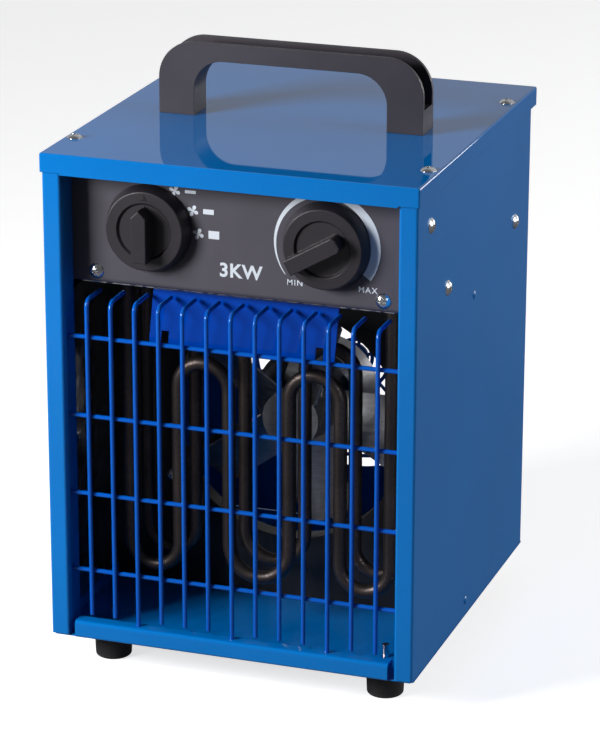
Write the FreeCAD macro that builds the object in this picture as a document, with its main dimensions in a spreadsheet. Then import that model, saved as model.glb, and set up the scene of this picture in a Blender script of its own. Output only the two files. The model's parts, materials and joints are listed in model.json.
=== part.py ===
"""Portable 3 kW fan heater in a folded sheet-steel case.

Frame: +X to the right of the control panel, +Z up, the front faces -Y.  The origin lies on
the floor, under the middle of the whole heater.  Every length is in millimetres.
"""
import FreeCAD, Part
import Sketcher
import math
import os

DRIVING_SIZES = {
    # case
    "body_width": 220.0,
    "body_depth": 230.0,
    "body_height": 291.0,
    "steel": 0.8,
    "gap": 0.2,
    "column_width": 11.0,
    "column_depth": 17.0,
    "edge_flange": 12.0,
    "bend_radius": 1.6,
    "bend_inner_radius": 0.8,
    "sill_nose_radius": 2.2,
    "side_clearance": 1.2,
    "upstand": 14.0,
    "sill_height": 10.4,
    "sill_depth": 10.0,
    "sill_end_gap": 3.6,
    "sill_lap": 2.0,
    "sill_back_lip": 5.0,
    "upstand_gap": 4.0,
    "side_flange_gap": 5.0,
    "corner_trim": 2.5,
    # cover
    "cover_flange": 11.0,
    "cover_lip": 1.0,
    "cover_rear_reach": 8.0,
    "cover_edge_radius": 1.2,
    "cover_screw_pitch": 158.0,
    "cover_screw_inset": 5.5,
    # handle
    "handle_length": 160.0,
    "handle_depth": 20.0,
    "handle_height": 43.5,
    "handle_leg": 21.5,
    "grip_thickness": 10.4,
    "handle_wall": 2.6,
    "handle_web": 3.0,
    "handle_outer_radius": 22.0,
    "handle_inner_radius": 18.0,
    "handle_block": 14.0,
    # feet
    "foot_height": 21.5,
    "foot_radius": 11.5,
    "foot_toe_radius": 10.6,
    "foot_inset_side": 25.7,
    "foot_inset_front": 32.0,
    "foot_inset_rear": 32.0,
    "foot_recess_radius": 5.6,
    "foot_recess_depth": 12.0,
    "foot_screw_reach": 8.5,
    # screws
    "screw_shank_radius": 2.0,
    "screw_head_radius": 4.5,
    "screw_head_height": 2.4,
    "screw_length": 9.0,
    "side_screw_drop": 27.6,
    "side_screw_setback": 24.3,
    "side_screw_lift": 9.2,
    "side_screw_front": 58.6,
    "side_screw_rear": 32.0,
    "rear_screw_margin": 30.0,
    "screw_clearance": 0.1,
    "rivet_radius": 2.6,
    "rivet_tail_radius": 1.56,
    "rivet_clearance": 0.05,
    "upper_rivet_drop": 11.0,
    "upper_rivet_setback": 112.5,
    "lower_rivet_height": 9.8,
    "lower_rivet_setback": 106.0,
    # front grille
    "wire_diameter": 2.6,
    "wire_pitch": 14.4,
    "cross_wire_pitch": 47.5,
    "lowest_cross_wire": 40.5,
    "grille_setback": 5.2,
    "grille_top_gap": 7.3,
    "grille_bend_radius": 4.5,
    "grille_reach": 26.0,
    "short_wire_gap": 3.2,
    "long_wire_depth": 3.0,
    "cross_wire_tail": 3.0,
    "weld_sink": 0.15,
    "wire_hole_clearance": 0.15,
    # control panel and knobs
    "panel_steel": 1.2,
    "panel_lift": 4.4,
    "panel_fold_radius": 3.0,
    "panel_fold_depth": 12.0,
    "panel_flange": 14.0,
    "panel_screw_pitch": 170.0,
    "panel_screw_lift": 6.8,
    "knob_pitch": 105.0,
    "knob_drop": 42.8,
    "knob_radius": 25.5,
    "knob_front_radius": 22.8,
    "knob_skirt": 8.0,
    "knob_dish_radius": 16.5,
    "knob_dish_depth": 1.4,
    "knob_dish_slope": 1.2,
    "knob_wall": 1.6,
    "knob_front_wall": 2.5,
    "knob_rim_radius": 0.8,
    "pointer_edge_radius": 0.5,
    "pointer_tail_gap": 3.5,
    "knob_clearance": 0.6,
    "pointer_front": 17.6,
    "pointer_width": 9.0,
    "spindle_radius": 3.0,
    "spindle_clearance": 0.05,
    "bush_radius": 5.0,
    "bush_front": 6.0,
    "nut_width": 14.0,
    "nut_height": 2.5,
    "tab_width": 6.3,
    "tab_thickness": 0.8,
    "tab_reach": 8.0,
    "spindle_drop": 3.0,
    "switch_width": 38.0,
    "switch_length": 27.0,
    "thermostat_radius": 19.0,
    "thermostat_length": 22.0,
    # heating chamber
    "divider_drop": 82.6,
    "divider_flange": 16.0,
    "divider_start": 31.0,
    "shelf_flange_start": 36.0,
    "shelf_flange_end_gap": 8.0,
    "deflector_half_width": 55.5,
    "deflector_setback": 22.0,
    "deflector_height": 30.4,
    "deflector_lean": 8.0,
    "deflector_flange": 14.0,
    "deflector_slot_margin": 7.0,
    "deflector_slot_width": 4.5,
    "deflector_slot_height": 8.0,
    "liner_setback": 1.0,
    "liner_bottom": 17.0,
    "shroud_setback": 100.0,
    "shroud_opening_radius": 72.0,
    "shroud_collar": 11.0,
    "shroud_flange": 18.0,
    "tube_diameter": 8.0,
    "front_element_setback": 52.0,
    "rear_element_setback": 80.0,
    "element_bottom": 30.5,
    "front_element_drop": 49.4,
    "rear_element_drop": 41.4,
    "element_end_lift": 15.6,
    "inner_leg": 18.5,
    "middle_leg": 49.5,
    "outer_leg": 80.0,
    "bush_height": 6.0,
    "bush_foot_wall": 4.0,
    "bush_top_wall": 2.5,
    "element_pin_radius": 1.6,
    "element_pin_length": 3.0,
    "element_tab_length": 8.5,
    "bulb_offset": 16.0,
    "bulb_lift": 6.2,
    "bulb_radius": 3.2,
    "bulb_setback": 122.0,
    "bulb_length": 62.0,
    "capillary_radius": 0.9,
    "clip_width": 6.0,
    # fan and motor
    "fan_level": 110.0,
    "fan_setback": 119.0,
    "fan_radius": 68.0,
    "fan_hub_radius": 17.5,
    "fan_hub_length": 24.0,
    "blade_thickness": 1.2,
    "blade_chord_radius": 46.0,
    "shaft_radius": 3.0,
    "shaft_clearance": 0.05,
    "motor_setback": 138.0,
    "motor_radius": 34.0,
    "motor_length": 30.0,
    "rotor_radius": 15.0,
    "rotor_air_gap": 0.4,
    "motor_cap": 4.0,
    "bracket_circle": 83.0,
    "bracket_arm_width": 12.0,
    "standoff_radius": 4.0,
    "bearing_boss_radius": 9.0,
    "bearing_boss_height": 3.0,
    # wiring space
    "cutout_setback": 66.0,
    "cutout_radius": 8.0,
    "cutout_height": 9.0,
    "cutout_foot_half": 14.0,
    "cutout_tab_offset": 6.2,
    "terminal_width": 36.0,
    "terminal_half_depth": 10.0,
    "terminal_height": 17.0,
    "terminal_pitch": 11.5,
    "terminal_shift": 14.0,
    "terminal_setback": 44.0,
    "terminal_well_radius": 3.4,
    "terminal_well_depth": 7.0,
    "terminal_way_radius": 2.0,
    "terminal_screw_radius": 3.1,
    "terminal_screw_height": 4.0,
    # rear
    "inlet_radius": 72.0,
    "guard_wire": 2.4,
    "guard_eye_margin": 7.0,
    "guard_ring_pitch": 11.0,
    "gland_offset": 62.0,
    "gland_drop": 45.0,
    "gland_bore_radius": 4.5,
    "gland_thread_radius": 7.5,
    "gland_flange_radius": 11.0,
    "gland_front": 7.5,
    "gland_flange_height": 3.0,
    "gland_thread_reach": 8.0,
    "gland_nut_width": 19.0,
    "gland_nut_height": 4.0,
}
WIRES_EACH_SIDE = 6
CROSS_WIRES = 4
LONG_WIRES = (-4, 0, 4)
FAN_BLADES = 5
BRACKET_ARMS = 3
GUARD_RINGS = 6
GUARD_SPOKES = 6
GUARD_EYES = (-45, 45, 135, -135)
FRONTWARD = FreeCAD.Rotation(FreeCAD.Vector(1, 0, 0), 90)
UPRIGHT = FreeCAD.Rotation()
AXIS_TURNS = {
    "x": FreeCAD.Rotation(FreeCAD.Vector(0, 1, 0), 90),
    "y": FreeCAD.Rotation(FreeCAD.Vector(1, 0, 0), -90),
    "z": UPRIGHT,
    "-x": FreeCAD.Rotation(FreeCAD.Vector(0, 1, 0), -90),
    "-y": FRONTWARD,
    "-z": FreeCAD.Rotation(FreeCAD.Vector(1, 0, 0), 180),
}


class Size:
    """A length that knows both its number and the sheet expression behind it."""

    def __init__(self, value, text):
        self.value = float(value)
        self.text = text

    def __add__(self, other):
        return joined(self, "+", other, self.value + number(other))

    def __radd__(self, other):
        return joined(other, "+", self, number(other) + self.value)

    def __sub__(self, other):
        return joined(self, "-", other, self.value - number(other))

    def __rsub__(self, other):
        return joined(other, "-", self, number(other) - self.value)

    def __mul__(self, other):
        return joined(self, "*", other, self.value * number(other))

    def __rmul__(self, other):
        return joined(other, "*", self, number(other) * self.value)

    def __truediv__(self, other):
        return joined(self, "/", other, self.value / number(other))

    def __neg__(self):
        return joined(0, "-", self, -self.value)


def number(size):
    return size.value if isinstance(size, Size) else float(size)


def text(size):
    """What an expression holds for a sheet size or a plain number."""
    return size.text if isinstance(size, Size) else "(%.9g)" % size


def joined(left, sign, right, value):
    return Size(value, "(%s %s %s)" % (text(left), sign, text(right)))


doc = FreeCAD.newDocument("fan_heater")
sheet = doc.addObject("Spreadsheet::Sheet", "dims")
dims = {}
for row, (alias, value) in enumerate(DRIVING_SIZES.items(), start=1):
    cell = "B%d" % row
    sheet.set("A%d" % row, alias)
    sheet.set(cell, "%g" % value)
    sheet.setAlias(cell, alias)
    dims[alias] = Size(value, "dims." + alias)
doc.recompute()

nodes = []


# ---------------------------------------------------------------- building blocks

def bind(thing, prop, size):
    thing.setExpression(prop, text(size))


def place(thing, spot, turn=UPRIGHT):
    thing.Placement = FreeCAD.Placement(FreeCAD.Vector(*[number(size) for size in spot]), turn)
    for letter, size in zip("xyz", spot):
        bind(thing, "Placement.Base." + letter, size)


def box(name, x, y, z):
    """Block between pairs of coordinates."""
    thing = doc.addObject("Part::Box", name)
    for prop, (low, high) in (("Length", x), ("Width", y), ("Height", z)):
        bind(thing, prop, high - low)
    place(thing, (x[0], y[0], z[0]))
    return thing


def cylinder(name, spot, radius, length, axis="z"):
    thing = doc.addObject("Part::Cylinder", name)
    bind(thing, "Radius", radius)
    bind(thing, "Height", length)
    place(thing, spot, AXIS_TURNS[axis])
    return thing


def cone(name, spot, start_radius, end_radius, length, axis="z"):
    thing = doc.addObject("Part::Cone", name)
    bind(thing, "Radius1", start_radius)
    bind(thing, "Radius2", end_radius)
    bind(thing, "Height", length)
    place(thing, spot, AXIS_TURNS[axis])
    return thing


def torus(name, spot, ring_radius, wire_radius, axis="z"):
    thing = doc.addObject("Part::Torus", name)
    bind(thing, "Radius1", ring_radius)
    bind(thing, "Radius2", wire_radius)
    place(thing, spot, AXIS_TURNS[axis])
    return thing


def prism(name, spot, width, length, axis="z"):
    """Hexagonal bar measured across its flats."""
    thing = doc.addObject("Part::Prism", name)
    thing.Polygon = 6
    bind(thing, "Circumradius", width / math.sqrt(3))
    bind(thing, "Height", length)
    place(thing, spot, AXIS_TURNS[axis])
    return thing


def fuse(name, parts):
    if len(parts) == 1:
        return parts[0]
    thing = doc.addObject("Part::MultiFuse", name)
    thing.Shapes = parts
    return thing


def cut(name, base, tools):
    thing = doc.addObject("Part::Cut", name)
    thing.Base = base
    thing.Tool = fuse(name + "_tools", tools)
    return thing


def common(name, parts):
    thing = doc.addObject("Part::MultiCommon", name)
    thing.Shapes = parts
    return thing


def group(name, parts):
    """Several separate solids that share one node."""
    thing = doc.addObject("Part::Compound", name)
    thing.Links = parts
    return thing


def finish(thing, label):
    thing.Label = label
    nodes.append(thing)
    return thing


def mirrored_sides():
    return (("left", -1), ("right", 1))


def span(side, inner, outer):
    """Pair of x coordinates, low then high, for distances measured out from the middle."""
    return (inner, outer) if side > 0 else (-outer, -inner)


# ---------------------------------------------------------------- sketches

def new_body(name):
    return doc.addObject("PartDesign::Body", name)


def new_sketch(body, name, plane):
    sketch = body.newObject("Sketcher::SketchObject", name)
    support = [item for item in body.Origin.OriginFeatures if item.Role == plane]
    sketch.AttachmentSupport = (support[0], "")
    sketch.MapMode = "FlatFace"
    return sketch


def pin_point(sketch, geometry, point, x, y):
    """Hold a sketch point at a place given by sheet sizes."""
    for kind, size, axis in (("DistanceX", x, -2), ("DistanceY", y, -1)):
        if number(size) == 0:
            sketch.addConstraint(Sketcher.Constraint("PointOnObject", geometry, point, axis))
            continue
        index = sketch.addConstraint(
            Sketcher.Constraint(kind, -1, 1, geometry, point, number(size)))
        if isinstance(size, Size):
            sketch.setExpression("Constraints[%d]" % index, size.text)


def outline(sketch, points):
    """Closed straight-sided outline through points given as sheet sizes."""
    corners = [FreeCAD.Vector(number(x), number(y), 0) for x, y in points]
    first = sketch.GeometryCount
    count = len(points)
    for index in range(count):
        sketch.addGeometry(Part.LineSegment(corners[index], corners[(index + 1) % count]), False)
    for index in range(count):
        sketch.addConstraint(
            Sketcher.Constraint("Coincident", first + index, 2, first + (index + 1) % count, 1))
    for index, (x, y) in enumerate(points):
        pin_point(sketch, first + index, 1, x, y)


def ring(sketch, x, y, radius):
    centre = FreeCAD.Vector(number(x), number(y), 0)
    index = sketch.addGeometry(Part.Circle(centre, FreeCAD.Vector(0, 0, 1), number(radius)), False)
    pin_point(sketch, index, 3, x, y)
    constraint = sketch.addConstraint(Sketcher.Constraint("Radius", index, number(radius)))
    if isinstance(radius, Size):
        sketch.setExpression("Constraints[%d]" % constraint, radius.text)


def pad(body, name, sketch, length, reverse=False, middle=False):
    feature = body.newObject("PartDesign::Pad", name)
    feature.Profile = sketch
    bind(feature, "Length", length)
    feature.Reversed = reverse
    if middle:
        feature.SideType = "Symmetric"
    doc.recompute()
    return feature


def pocket(body, name, sketch, length, reverse=False, middle=False):
    before = body.Shape.Volume
    feature = body.newObject("PartDesign::Pocket", name)
    feature.Profile = sketch
    bind(feature, "Length", length)
    feature.Reversed = reverse
    if middle:
        feature.SideType = "Symmetric"
    doc.recompute()
    if body.Shape.Volume > before - 0.01:
        raise RuntimeError(name + " removes nothing")
    return feature


def revolve(body, name, sketch):
    """Full turn about the sketch's upright axis."""
    feature = body.newObject("PartDesign::Revolution", name)
    feature.Profile = sketch
    feature.ReferenceAxis = (sketch, ["V_Axis"])
    feature.Angle = 360
    doc.recompute()
    return feature


def round_edges(body, name, radius, chosen):
    """Round the edges whose middle point passes the test."""
    base = body.Tip
    names = []
    for index, edge in enumerate(base.Shape.Edges, start=1):
        middle = edge.valueAt((edge.FirstParameter + edge.LastParameter) / 2)
        if chosen(edge, middle):
            names.append("Edge%d" % index)
    if not names:
        raise RuntimeError(name + " finds no edge")
    feature = body.newObject("PartDesign::Fillet", name)
    feature.Base = (base, names)
    bind(feature, "Radius", radius)
    doc.recompute()
    return feature


def near(first, second, tolerance=0.01):
    return abs(first - second) < tolerance


# ---------------------------------------------------------------- shared places

steel = dims["steel"]
gap = dims["gap"]
half_width = dims["body_width"] / 2
inner_half_width = half_width - steel
cover_reach = steel + gap
front = -(dims["body_depth"] + dims["cover_rear_reach"] - cover_reach) / 2


def back(distance):
    """Y of a place this far behind the front faces of the columns."""
    return front + distance


def above(height):
    """Z of a place this far above the underside of the base."""
    return dims["foot_height"] + height


cover_underside = above(dims["body_height"] - steel)
side_bottom = above(dims["side_clearance"])
side_top = cover_underside - gap
column_inner = half_width - dims["column_width"]
rear_face = back(dims["body_depth"])
rear_panel_back = rear_face - steel - gap
rear_panel_front = rear_panel_back - steel
panel_front = back(dims["column_depth"] + gap)
panel_back = panel_front + dims["panel_steel"]
sill_half = column_inner - dims["sill_end_gap"]
divider_level = dims["body_height"] - dims["divider_drop"]
divider_bottom = above(divider_level)
divider_top = divider_bottom + steel
shroud_front = back(dims["shroud_setback"])
shroud_back = shroud_front + steel
fan_level = above(dims["fan_level"])
knob_level = above(dims["body_height"] - dims["knob_drop"])
panel_bottom = divider_level + dims["panel_lift"]
grille_top = panel_bottom - dims["grille_top_gap"]
element_end = divider_level + dims["element_end_lift"]
gland_level = above(dims["body_height"] - dims["gland_drop"])
guard_eye_circle = dims["inlet_radius"] + dims["guard_eye_margin"]
half_knob_pitch = dims["knob_pitch"] / 2
handle_y = front + dims["body_depth"] / 2
screw_hole = dims["screw_shank_radius"] + dims["screw_clearance"]
screw_length = dims["screw_length"]
rivet_hole = dims["rivet_tail_radius"] + dims["rivet_clearance"]

cover_screw_x = half_width - dims["cover_screw_inset"]
cover_screw_spots = [
    (side * cover_screw_x, handle_y + end * dims["cover_screw_pitch"] / 2)
    for side in (-1, 1) for end in (-1, 1)]
handle_screw_x = dims["handle_length"] / 2 - dims["handle_leg"] / 2
side_screw_spots = [
    (back(dims["side_screw_setback"]), above(dims["body_height"] - dims["side_screw_drop"])),
    (back(dims["side_screw_front"]), divider_bottom + dims["side_screw_lift"]),
    (rear_face - dims["side_screw_rear"], divider_bottom + dims["side_screw_lift"])]
side_rivet_spots = [
    (back(dims["upper_rivet_setback"]), divider_bottom - dims["upper_rivet_drop"]),
    (back(dims["lower_rivet_setback"]), above(dims["lower_rivet_height"]))]
panel_screw_x = dims["panel_screw_pitch"] / 2
panel_screw_z = above(panel_bottom + dims["panel_screw_lift"])
rear_screw_x = half_width - dims["edge_flange"] / 2
rear_screw_levels = [
    above(dims["rear_screw_margin"]),
    above(dims["body_height"] / 2),
    above(dims["body_height"] - dims["rear_screw_margin"])]
foot_x = half_width - dims["foot_inset_side"]
foot_front_y = back(dims["foot_inset_front"])
foot_rear_y = rear_face - dims["foot_inset_rear"]


# ---------------------------------------------------------------- fasteners

def pan_screw(name, spot, outward, length):
    """Pan-head screw with a cross recess; its head sits at the spot and faces outward."""
    head_radius = dims["screw_head_radius"]
    head_height = dims["screw_head_height"]
    dome_radius = head_radius * 1.25
    blank = cylinder(name + "_head_blank", (0, 0, 0), head_radius, head_height)
    dome = doc.addObject("Part::Sphere", name + "_dome")
    bind(dome, "Radius", dome_radius)
    place(dome, (0, 0, head_height - dome_radius))
    head = common(name + "_head", [blank, dome])
    shank = cylinder(name + "_shank", (0, 0, -length), dims["screw_shank_radius"],
                     length + head_height / 4)
    solid = fuse(name + "_solid", [head, shank])
    slot_half = head_radius * 0.5
    slot_side = head_radius * 0.11
    slot_z = (head_height * 0.45, head_height * 1.5)
    slots = [
        box(name + "_slot_a", (-slot_half, slot_half), (-slot_side, slot_side), slot_z),
        box(name + "_slot_b", (-slot_side, slot_side), (-slot_half, slot_half), slot_z)]
    screw = cut(name, solid, slots)
    place(screw, spot, AXIS_TURNS[outward])
    return screw


def dome_rivet(name, spot, outward):
    """Low domed rivet with a short tail behind the sheets."""
    radius = dims["rivet_radius"]
    blank = cylinder(name + "_head_blank", (0, 0, 0), radius, radius * 0.4)
    dome = doc.addObject("Part::Sphere", name + "_dome")
    bind(dome, "Radius", radius * 1.45)
    place(dome, (0, 0, radius * -1.05))
    head = common(name + "_head", [blank, dome])
    tail_length = steel * 2 + gap * 2
    tail = cylinder(name + "_tail", (0, 0, -tail_length), dims["rivet_tail_radius"],
                    tail_length + gap)
    rivet = fuse(name, [head, tail])
    place(rivet, spot, AXIS_TURNS[outward])
    return rivet


def holes(name, spots, radius, length, axis):
    """Round drills that start half their length before each spot."""
    shift = {"x": (1, 0, 0), "y": (0, 1, 0), "z": (0, 0, 1)}[axis]
    tools = []
    for index, spot in enumerate(spots, start=1):
        start = [size - length / 2 * step if step else size for size, step in zip(spot, shift)]
        tools.append(cylinder("%s_%d" % (name, index), start, radius, length, axis))
    return tools


# ---------------------------------------------------------------- case

def sill():
    """Front edge of the base, folded up, back and down again between the columns."""
    body = new_body("sill_channel")
    sketch = new_sketch(body, "sill_profile", "YZ_Plane")
    depth = dims["sill_depth"]
    height = dims["sill_height"]
    lip = height - dims["sill_back_lip"]
    lap = depth + dims["sill_lap"]
    outline(sketch, [(0, 0), (lap, 0), (lap, steel), (steel, steel),
                     (steel, height - steel), (depth - steel, height - steel),
                     (depth - steel, lip), (depth, lip), (depth, height), (0, height)])
    pad(body, "sill_sheet", sketch, sill_half * 2, middle=True)
    inner_nose = dims["sill_nose_radius"] - steel
    bends = (
        ("sill_nose", dims["sill_nose_radius"], 0, height),
        ("sill_nose_inside", inner_nose, steel, height - steel),
        ("sill_foot", dims["bend_radius"], 0, 0),
        ("sill_foot_inside", dims["bend_inner_radius"], steel, steel),
        ("sill_back", dims["bend_radius"], depth, height),
        ("sill_back_inside", dims["bend_inner_radius"], depth - steel, height - steel))
    for name, radius, y, z in bends:
        round_edges(body, name, radius,
                    lambda edge, middle, y=number(y), z=number(z):
                    near(middle.y, y) and near(middle.z, z))
    place(body, (0, front, above(0)))
    return body


def base_pan():
    upstand_outer = inner_half_width - gap
    floor = box("floor", (-half_width, half_width), (back(dims["bend_radius"]), rear_face),
                (above(0), above(steel)))
    parts = [floor]
    for word, side in mirrored_sides():
        parts.append(box("base_upstand_" + word, span(side, upstand_outer - steel, upstand_outer),
                         (back(dims["column_depth"] + dims["upstand_gap"]),
                          rear_face - dims["edge_flange"]),
                         (above(0), above(dims["upstand"]))))
    parts.append(sill())
    solid = fuse("base_folded", parts)
    trims = []
    corner = dims["corner_trim"]
    for word, side in mirrored_sides():
        trim = box("base_corner_" + word, (-corner, corner), (-corner, corner), (-1, steel + 1))
        place(trim, (side * half_width, front - corner * 1.4, above(-1)),
              FreeCAD.Rotation(FreeCAD.Vector(0, 0, 1), 45))
        trims.append(trim)
    wire_radius = dims["wire_diameter"] / 2 + dims["wire_hole_clearance"]
    grille_y = back(dims["grille_setback"])
    sill_top = above(dims["sill_height"])
    wire_spots = [(dims["wire_pitch"] * count, grille_y, sill_top) for count in LONG_WIRES]
    trims += holes("sill_wire_hole", wire_spots, wire_radius, steel * 3, "z")
    foot_spots = [(side * foot_x, y, above(steel / 2))
                  for side in (-1, 1) for y in (foot_front_y, foot_rear_y)]
    trims += holes("base_foot_hole", foot_spots, screw_hole, steel * 4, "z")
    for word, side in mirrored_sides():
        y, z = side_rivet_spots[1]
        trims += holes("base_rivet_hole_" + word, [(side * inner_half_width, y, z)],
                       rivet_hole, steel * 6, "x")
    return finish(cut("base_pan_body", solid, trims), "base_pan")


def side_panel(word, side):
    """Wall, front column with its return, and rear flange folded from one sheet."""
    flange = dims["edge_flange"]
    column_end = back(dims["column_depth"])
    body = new_body(word + "_side_channel")
    sketch = new_sketch(body, word + "_side_profile", "XY_Plane")
    corners = [(half_width, front), (half_width, rear_face), (half_width - flange, rear_face),
               (half_width - flange, rear_face - steel), (inner_half_width, rear_face - steel),
               (inner_half_width, front + steel), (column_inner + steel, front + steel),
               (column_inner + steel, column_end), (column_inner, column_end),
               (column_inner, front)]
    outline(sketch, [(side * x, y) for x, y in corners])
    pad(body, word + "_side_sheet", sketch, side_top - side_bottom)
    for name, radius, bends in (
            ("_outer_bends", "bend_radius", (corners[0], corners[1], corners[9])),
            ("_inner_bends", "bend_inner_radius", (corners[4], corners[5], corners[6]))):
        spots = [(number(x) * side, number(y)) for x, y in bends]
        round_edges(body, word + name, dims[radius],
                    lambda edge, middle, spots=spots:
                    any(near(middle.x, x) and near(middle.y, y) for x, y in spots))
    place(body, (0, 0, side_bottom))
    top_flange = box(word + "_top_flange", span(side, half_width - flange, half_width - steel / 2),
                     (back(dims["column_depth"] + dims["side_flange_gap"]), rear_face - flange),
                     (side_top - steel, side_top))
    solid = fuse(word + "_side_folded", [body, top_flange])
    cover_spots = [(x, y, side_top) for x, y in cover_screw_spots if number(x) * side > 0]
    tools = holes(word + "_cover_hole", cover_spots, screw_hole, steel * 4, "z")
    wall_x = side * (half_width - steel / 2)
    tools += holes(word + "_screw_hole", [(wall_x, y, z0) for y, z0 in side_screw_spots],
                   screw_hole, steel * 4, "x")
    tools += holes(word + "_rivet_hole", [(wall_x, y, z0) for y, z0 in side_rivet_spots],
                   rivet_hole, steel * 4, "x")
    rear_spots = [(side * rear_screw_x, rear_face, z0) for z0 in rear_screw_levels]
    tools += holes(word + "_rear_hole", rear_spots, screw_hole, steel * 4, "y")
    wire_radius = dims["wire_diameter"] / 2 + dims["wire_hole_clearance"]
    cross_y = back(dims["grille_setback"] + dims["wire_diameter"])
    cross_spots = [(side * column_inner, cross_y,
                    above(dims["lowest_cross_wire"] + dims["cross_wire_pitch"] * count))
                   for count in range(CROSS_WIRES)]
    tools += holes(word + "_grille_hole", cross_spots, wire_radius, steel * 4, "x")
    return finish(cut(word + "_side_body", solid, tools), word + "_side_panel")


def top_cover():
    """Folded lid: rounded outer block less its inside, with a lower lip between the columns."""
    reach = half_width + cover_reach
    y = (front - cover_reach, rear_face + dims["cover_rear_reach"])
    top = above(dims["body_height"])
    bottom = top - dims["cover_flange"]
    radius = dims["cover_edge_radius"]
    outer = new_body("cover_outer")
    sketch = new_sketch(outer, "cover_outline", "XY_Plane")
    outline(sketch, [(-reach, y[0]), (reach, y[0]), (reach, y[1]), (-reach, y[1])])
    pad(outer, "cover_block", sketch, dims["cover_flange"])
    height = number(dims["cover_flange"])
    round_edges(outer, "cover_edges", radius,
                lambda edge, middle: near(middle.z, height) or near(middle.z, height / 2))
    place(outer, (0, 0, bottom))
    hollow = box("cover_hollow", (-half_width - gap, half_width + gap),
                 (front - gap, y[1] - steel), (bottom - 1, cover_underside))
    shell = cut("cover_shell", outer, [hollow])
    lip_half = column_inner - gap
    lip = box("cover_lip", (-lip_half, lip_half), (y[0], front - gap),
              (bottom - dims["cover_lip"], bottom + 2))
    solid = fuse("cover_folded", [shell, lip])
    tools = holes("cover_screw_hole", [(x, y0, cover_underside) for x, y0 in cover_screw_spots],
                  screw_hole, steel * 4, "z")
    tools += holes("cover_handle_hole",
                   [(side * handle_screw_x, handle_y, cover_underside) for side in (-1, 1)],
                   screw_hole, steel * 4, "z")
    return finish(cut("cover_body", solid, tools), "top_cover")


def guard_eye_spot(angle):
    """X and Z of a guard screw at an angle clockwise from the top of the inlet."""
    return (guard_eye_circle * math.sin(math.radians(angle)),
            fan_level + guard_eye_circle * math.cos(math.radians(angle)))


def rear_panel():
    body = new_body("rear_panel_body")
    sketch = new_sketch(body, "rear_outline", "XZ_Plane")
    reach = inner_half_width - gap * 2
    bottom = side_bottom
    top = side_top - gap
    outline(sketch, [(-reach, bottom), (reach, bottom), (reach, top), (-reach, top)])
    pad(body, "rear_sheet", sketch, steel, reverse=True)
    drills = new_sketch(body, "rear_holes", "XZ_Plane")
    ring(drills, 0, fan_level, dims["inlet_radius"])
    ring(drills, dims["gland_offset"], gland_level,
         dims["gland_thread_radius"] + gap)
    for side in (-1, 1):
        for level in rear_screw_levels:
            ring(drills, side * rear_screw_x, level, screw_hole)
    for angle in GUARD_EYES:
        x, z = guard_eye_spot(angle)
        ring(drills, x, z, screw_hole)
    pocket(body, "rear_cuts", drills, steel * 3, middle=True)
    place(body, (0, rear_panel_front, 0))
    return finish(body, "rear_panel")


def guard_wire_rod(name, angle, start, reach, radius, level):
    """Straight guard wire that leaves the fan's axis at an angle clockwise from the top."""
    rod = doc.addObject("Part::Cylinder", name)
    bind(rod, "Radius", radius)
    bind(rod, "Height", reach)
    turn = FreeCAD.Rotation(FreeCAD.Vector(0, 1, 0), angle)
    place(rod, (start * math.sin(math.radians(angle)), level,
                fan_level + start * math.cos(math.radians(angle))), turn)
    return rod


def rear_guard():
    """Wire guard of rings and spokes with four screw eyes, standing proud of the inlet."""
    wire = dims["guard_wire"] / 2
    pitch = dims["guard_ring_pitch"]
    ring_y = rear_face + wire + gap
    spoke_y = ring_y - wire * 0.7
    eye = wire * 2.8
    parts = []
    for count in range(1, GUARD_RINGS + 1):
        parts.append(torus("guard_ring_%d" % count, (0, ring_y, fan_level), pitch * count, wire, "y"))
    for count in range(GUARD_SPOKES):
        parts.append(guard_wire_rod("guard_spoke_%d" % (count + 1), 15 + 360.0 * count / GUARD_SPOKES,
                                    pitch * 0.6, pitch * (GUARD_RINGS - 0.6) + 0.6, wire * 0.9, spoke_y))
    parts.append(cylinder("guard_centre", (0, spoke_y - wire * 0.6, fan_level),
                          pitch - wire * 1.7, wire * 1.2, "y"))
    for count, angle in enumerate(GUARD_EYES, start=1):
        x, z = guard_eye_spot(angle)
        parts.append(torus("guard_eye_%d" % count, (x, spoke_y, z), eye, wire, "y"))
        parts.append(guard_wire_rod("guard_arm_%d" % count, angle, pitch * 5,
                                    guard_eye_circle - eye - pitch * 5, wire * 0.8, spoke_y))
    return finish(fuse("guard_body", parts), "rear_guard")


# ---------------------------------------------------------------- front grille

def wire_along(points, radius, bend):
    """Round bar along straight runs joined by tangent arcs of one bend radius."""
    runs = []
    start = points[0]
    for before, corner, after in zip(points, points[1:], points[2:]):
        into = (corner - before).normalize()
        out = (after - corner).normalize()
        half_turn = into.getAngle(out) / 2
        setback = bend * math.tan(half_turn)
        arc_start = corner - into * setback
        arc_end = corner + out * setback
        middle = corner + (out - into).normalize() * (bend / math.cos(half_turn) - bend)
        runs.append(Part.LineSegment(start, arc_start).toShape())
        runs.append(Part.Arc(arc_start, middle, arc_end).toShape())
        start = arc_end
    runs.append(Part.LineSegment(start, points[-1]).toShape())
    path = Part.Wire(runs)
    direction = (points[1] - points[0]).normalize()
    section = Part.Wire(Part.Circle(points[0], direction, radius).toShape())
    return path.makePipeShell([section], True, False)


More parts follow.
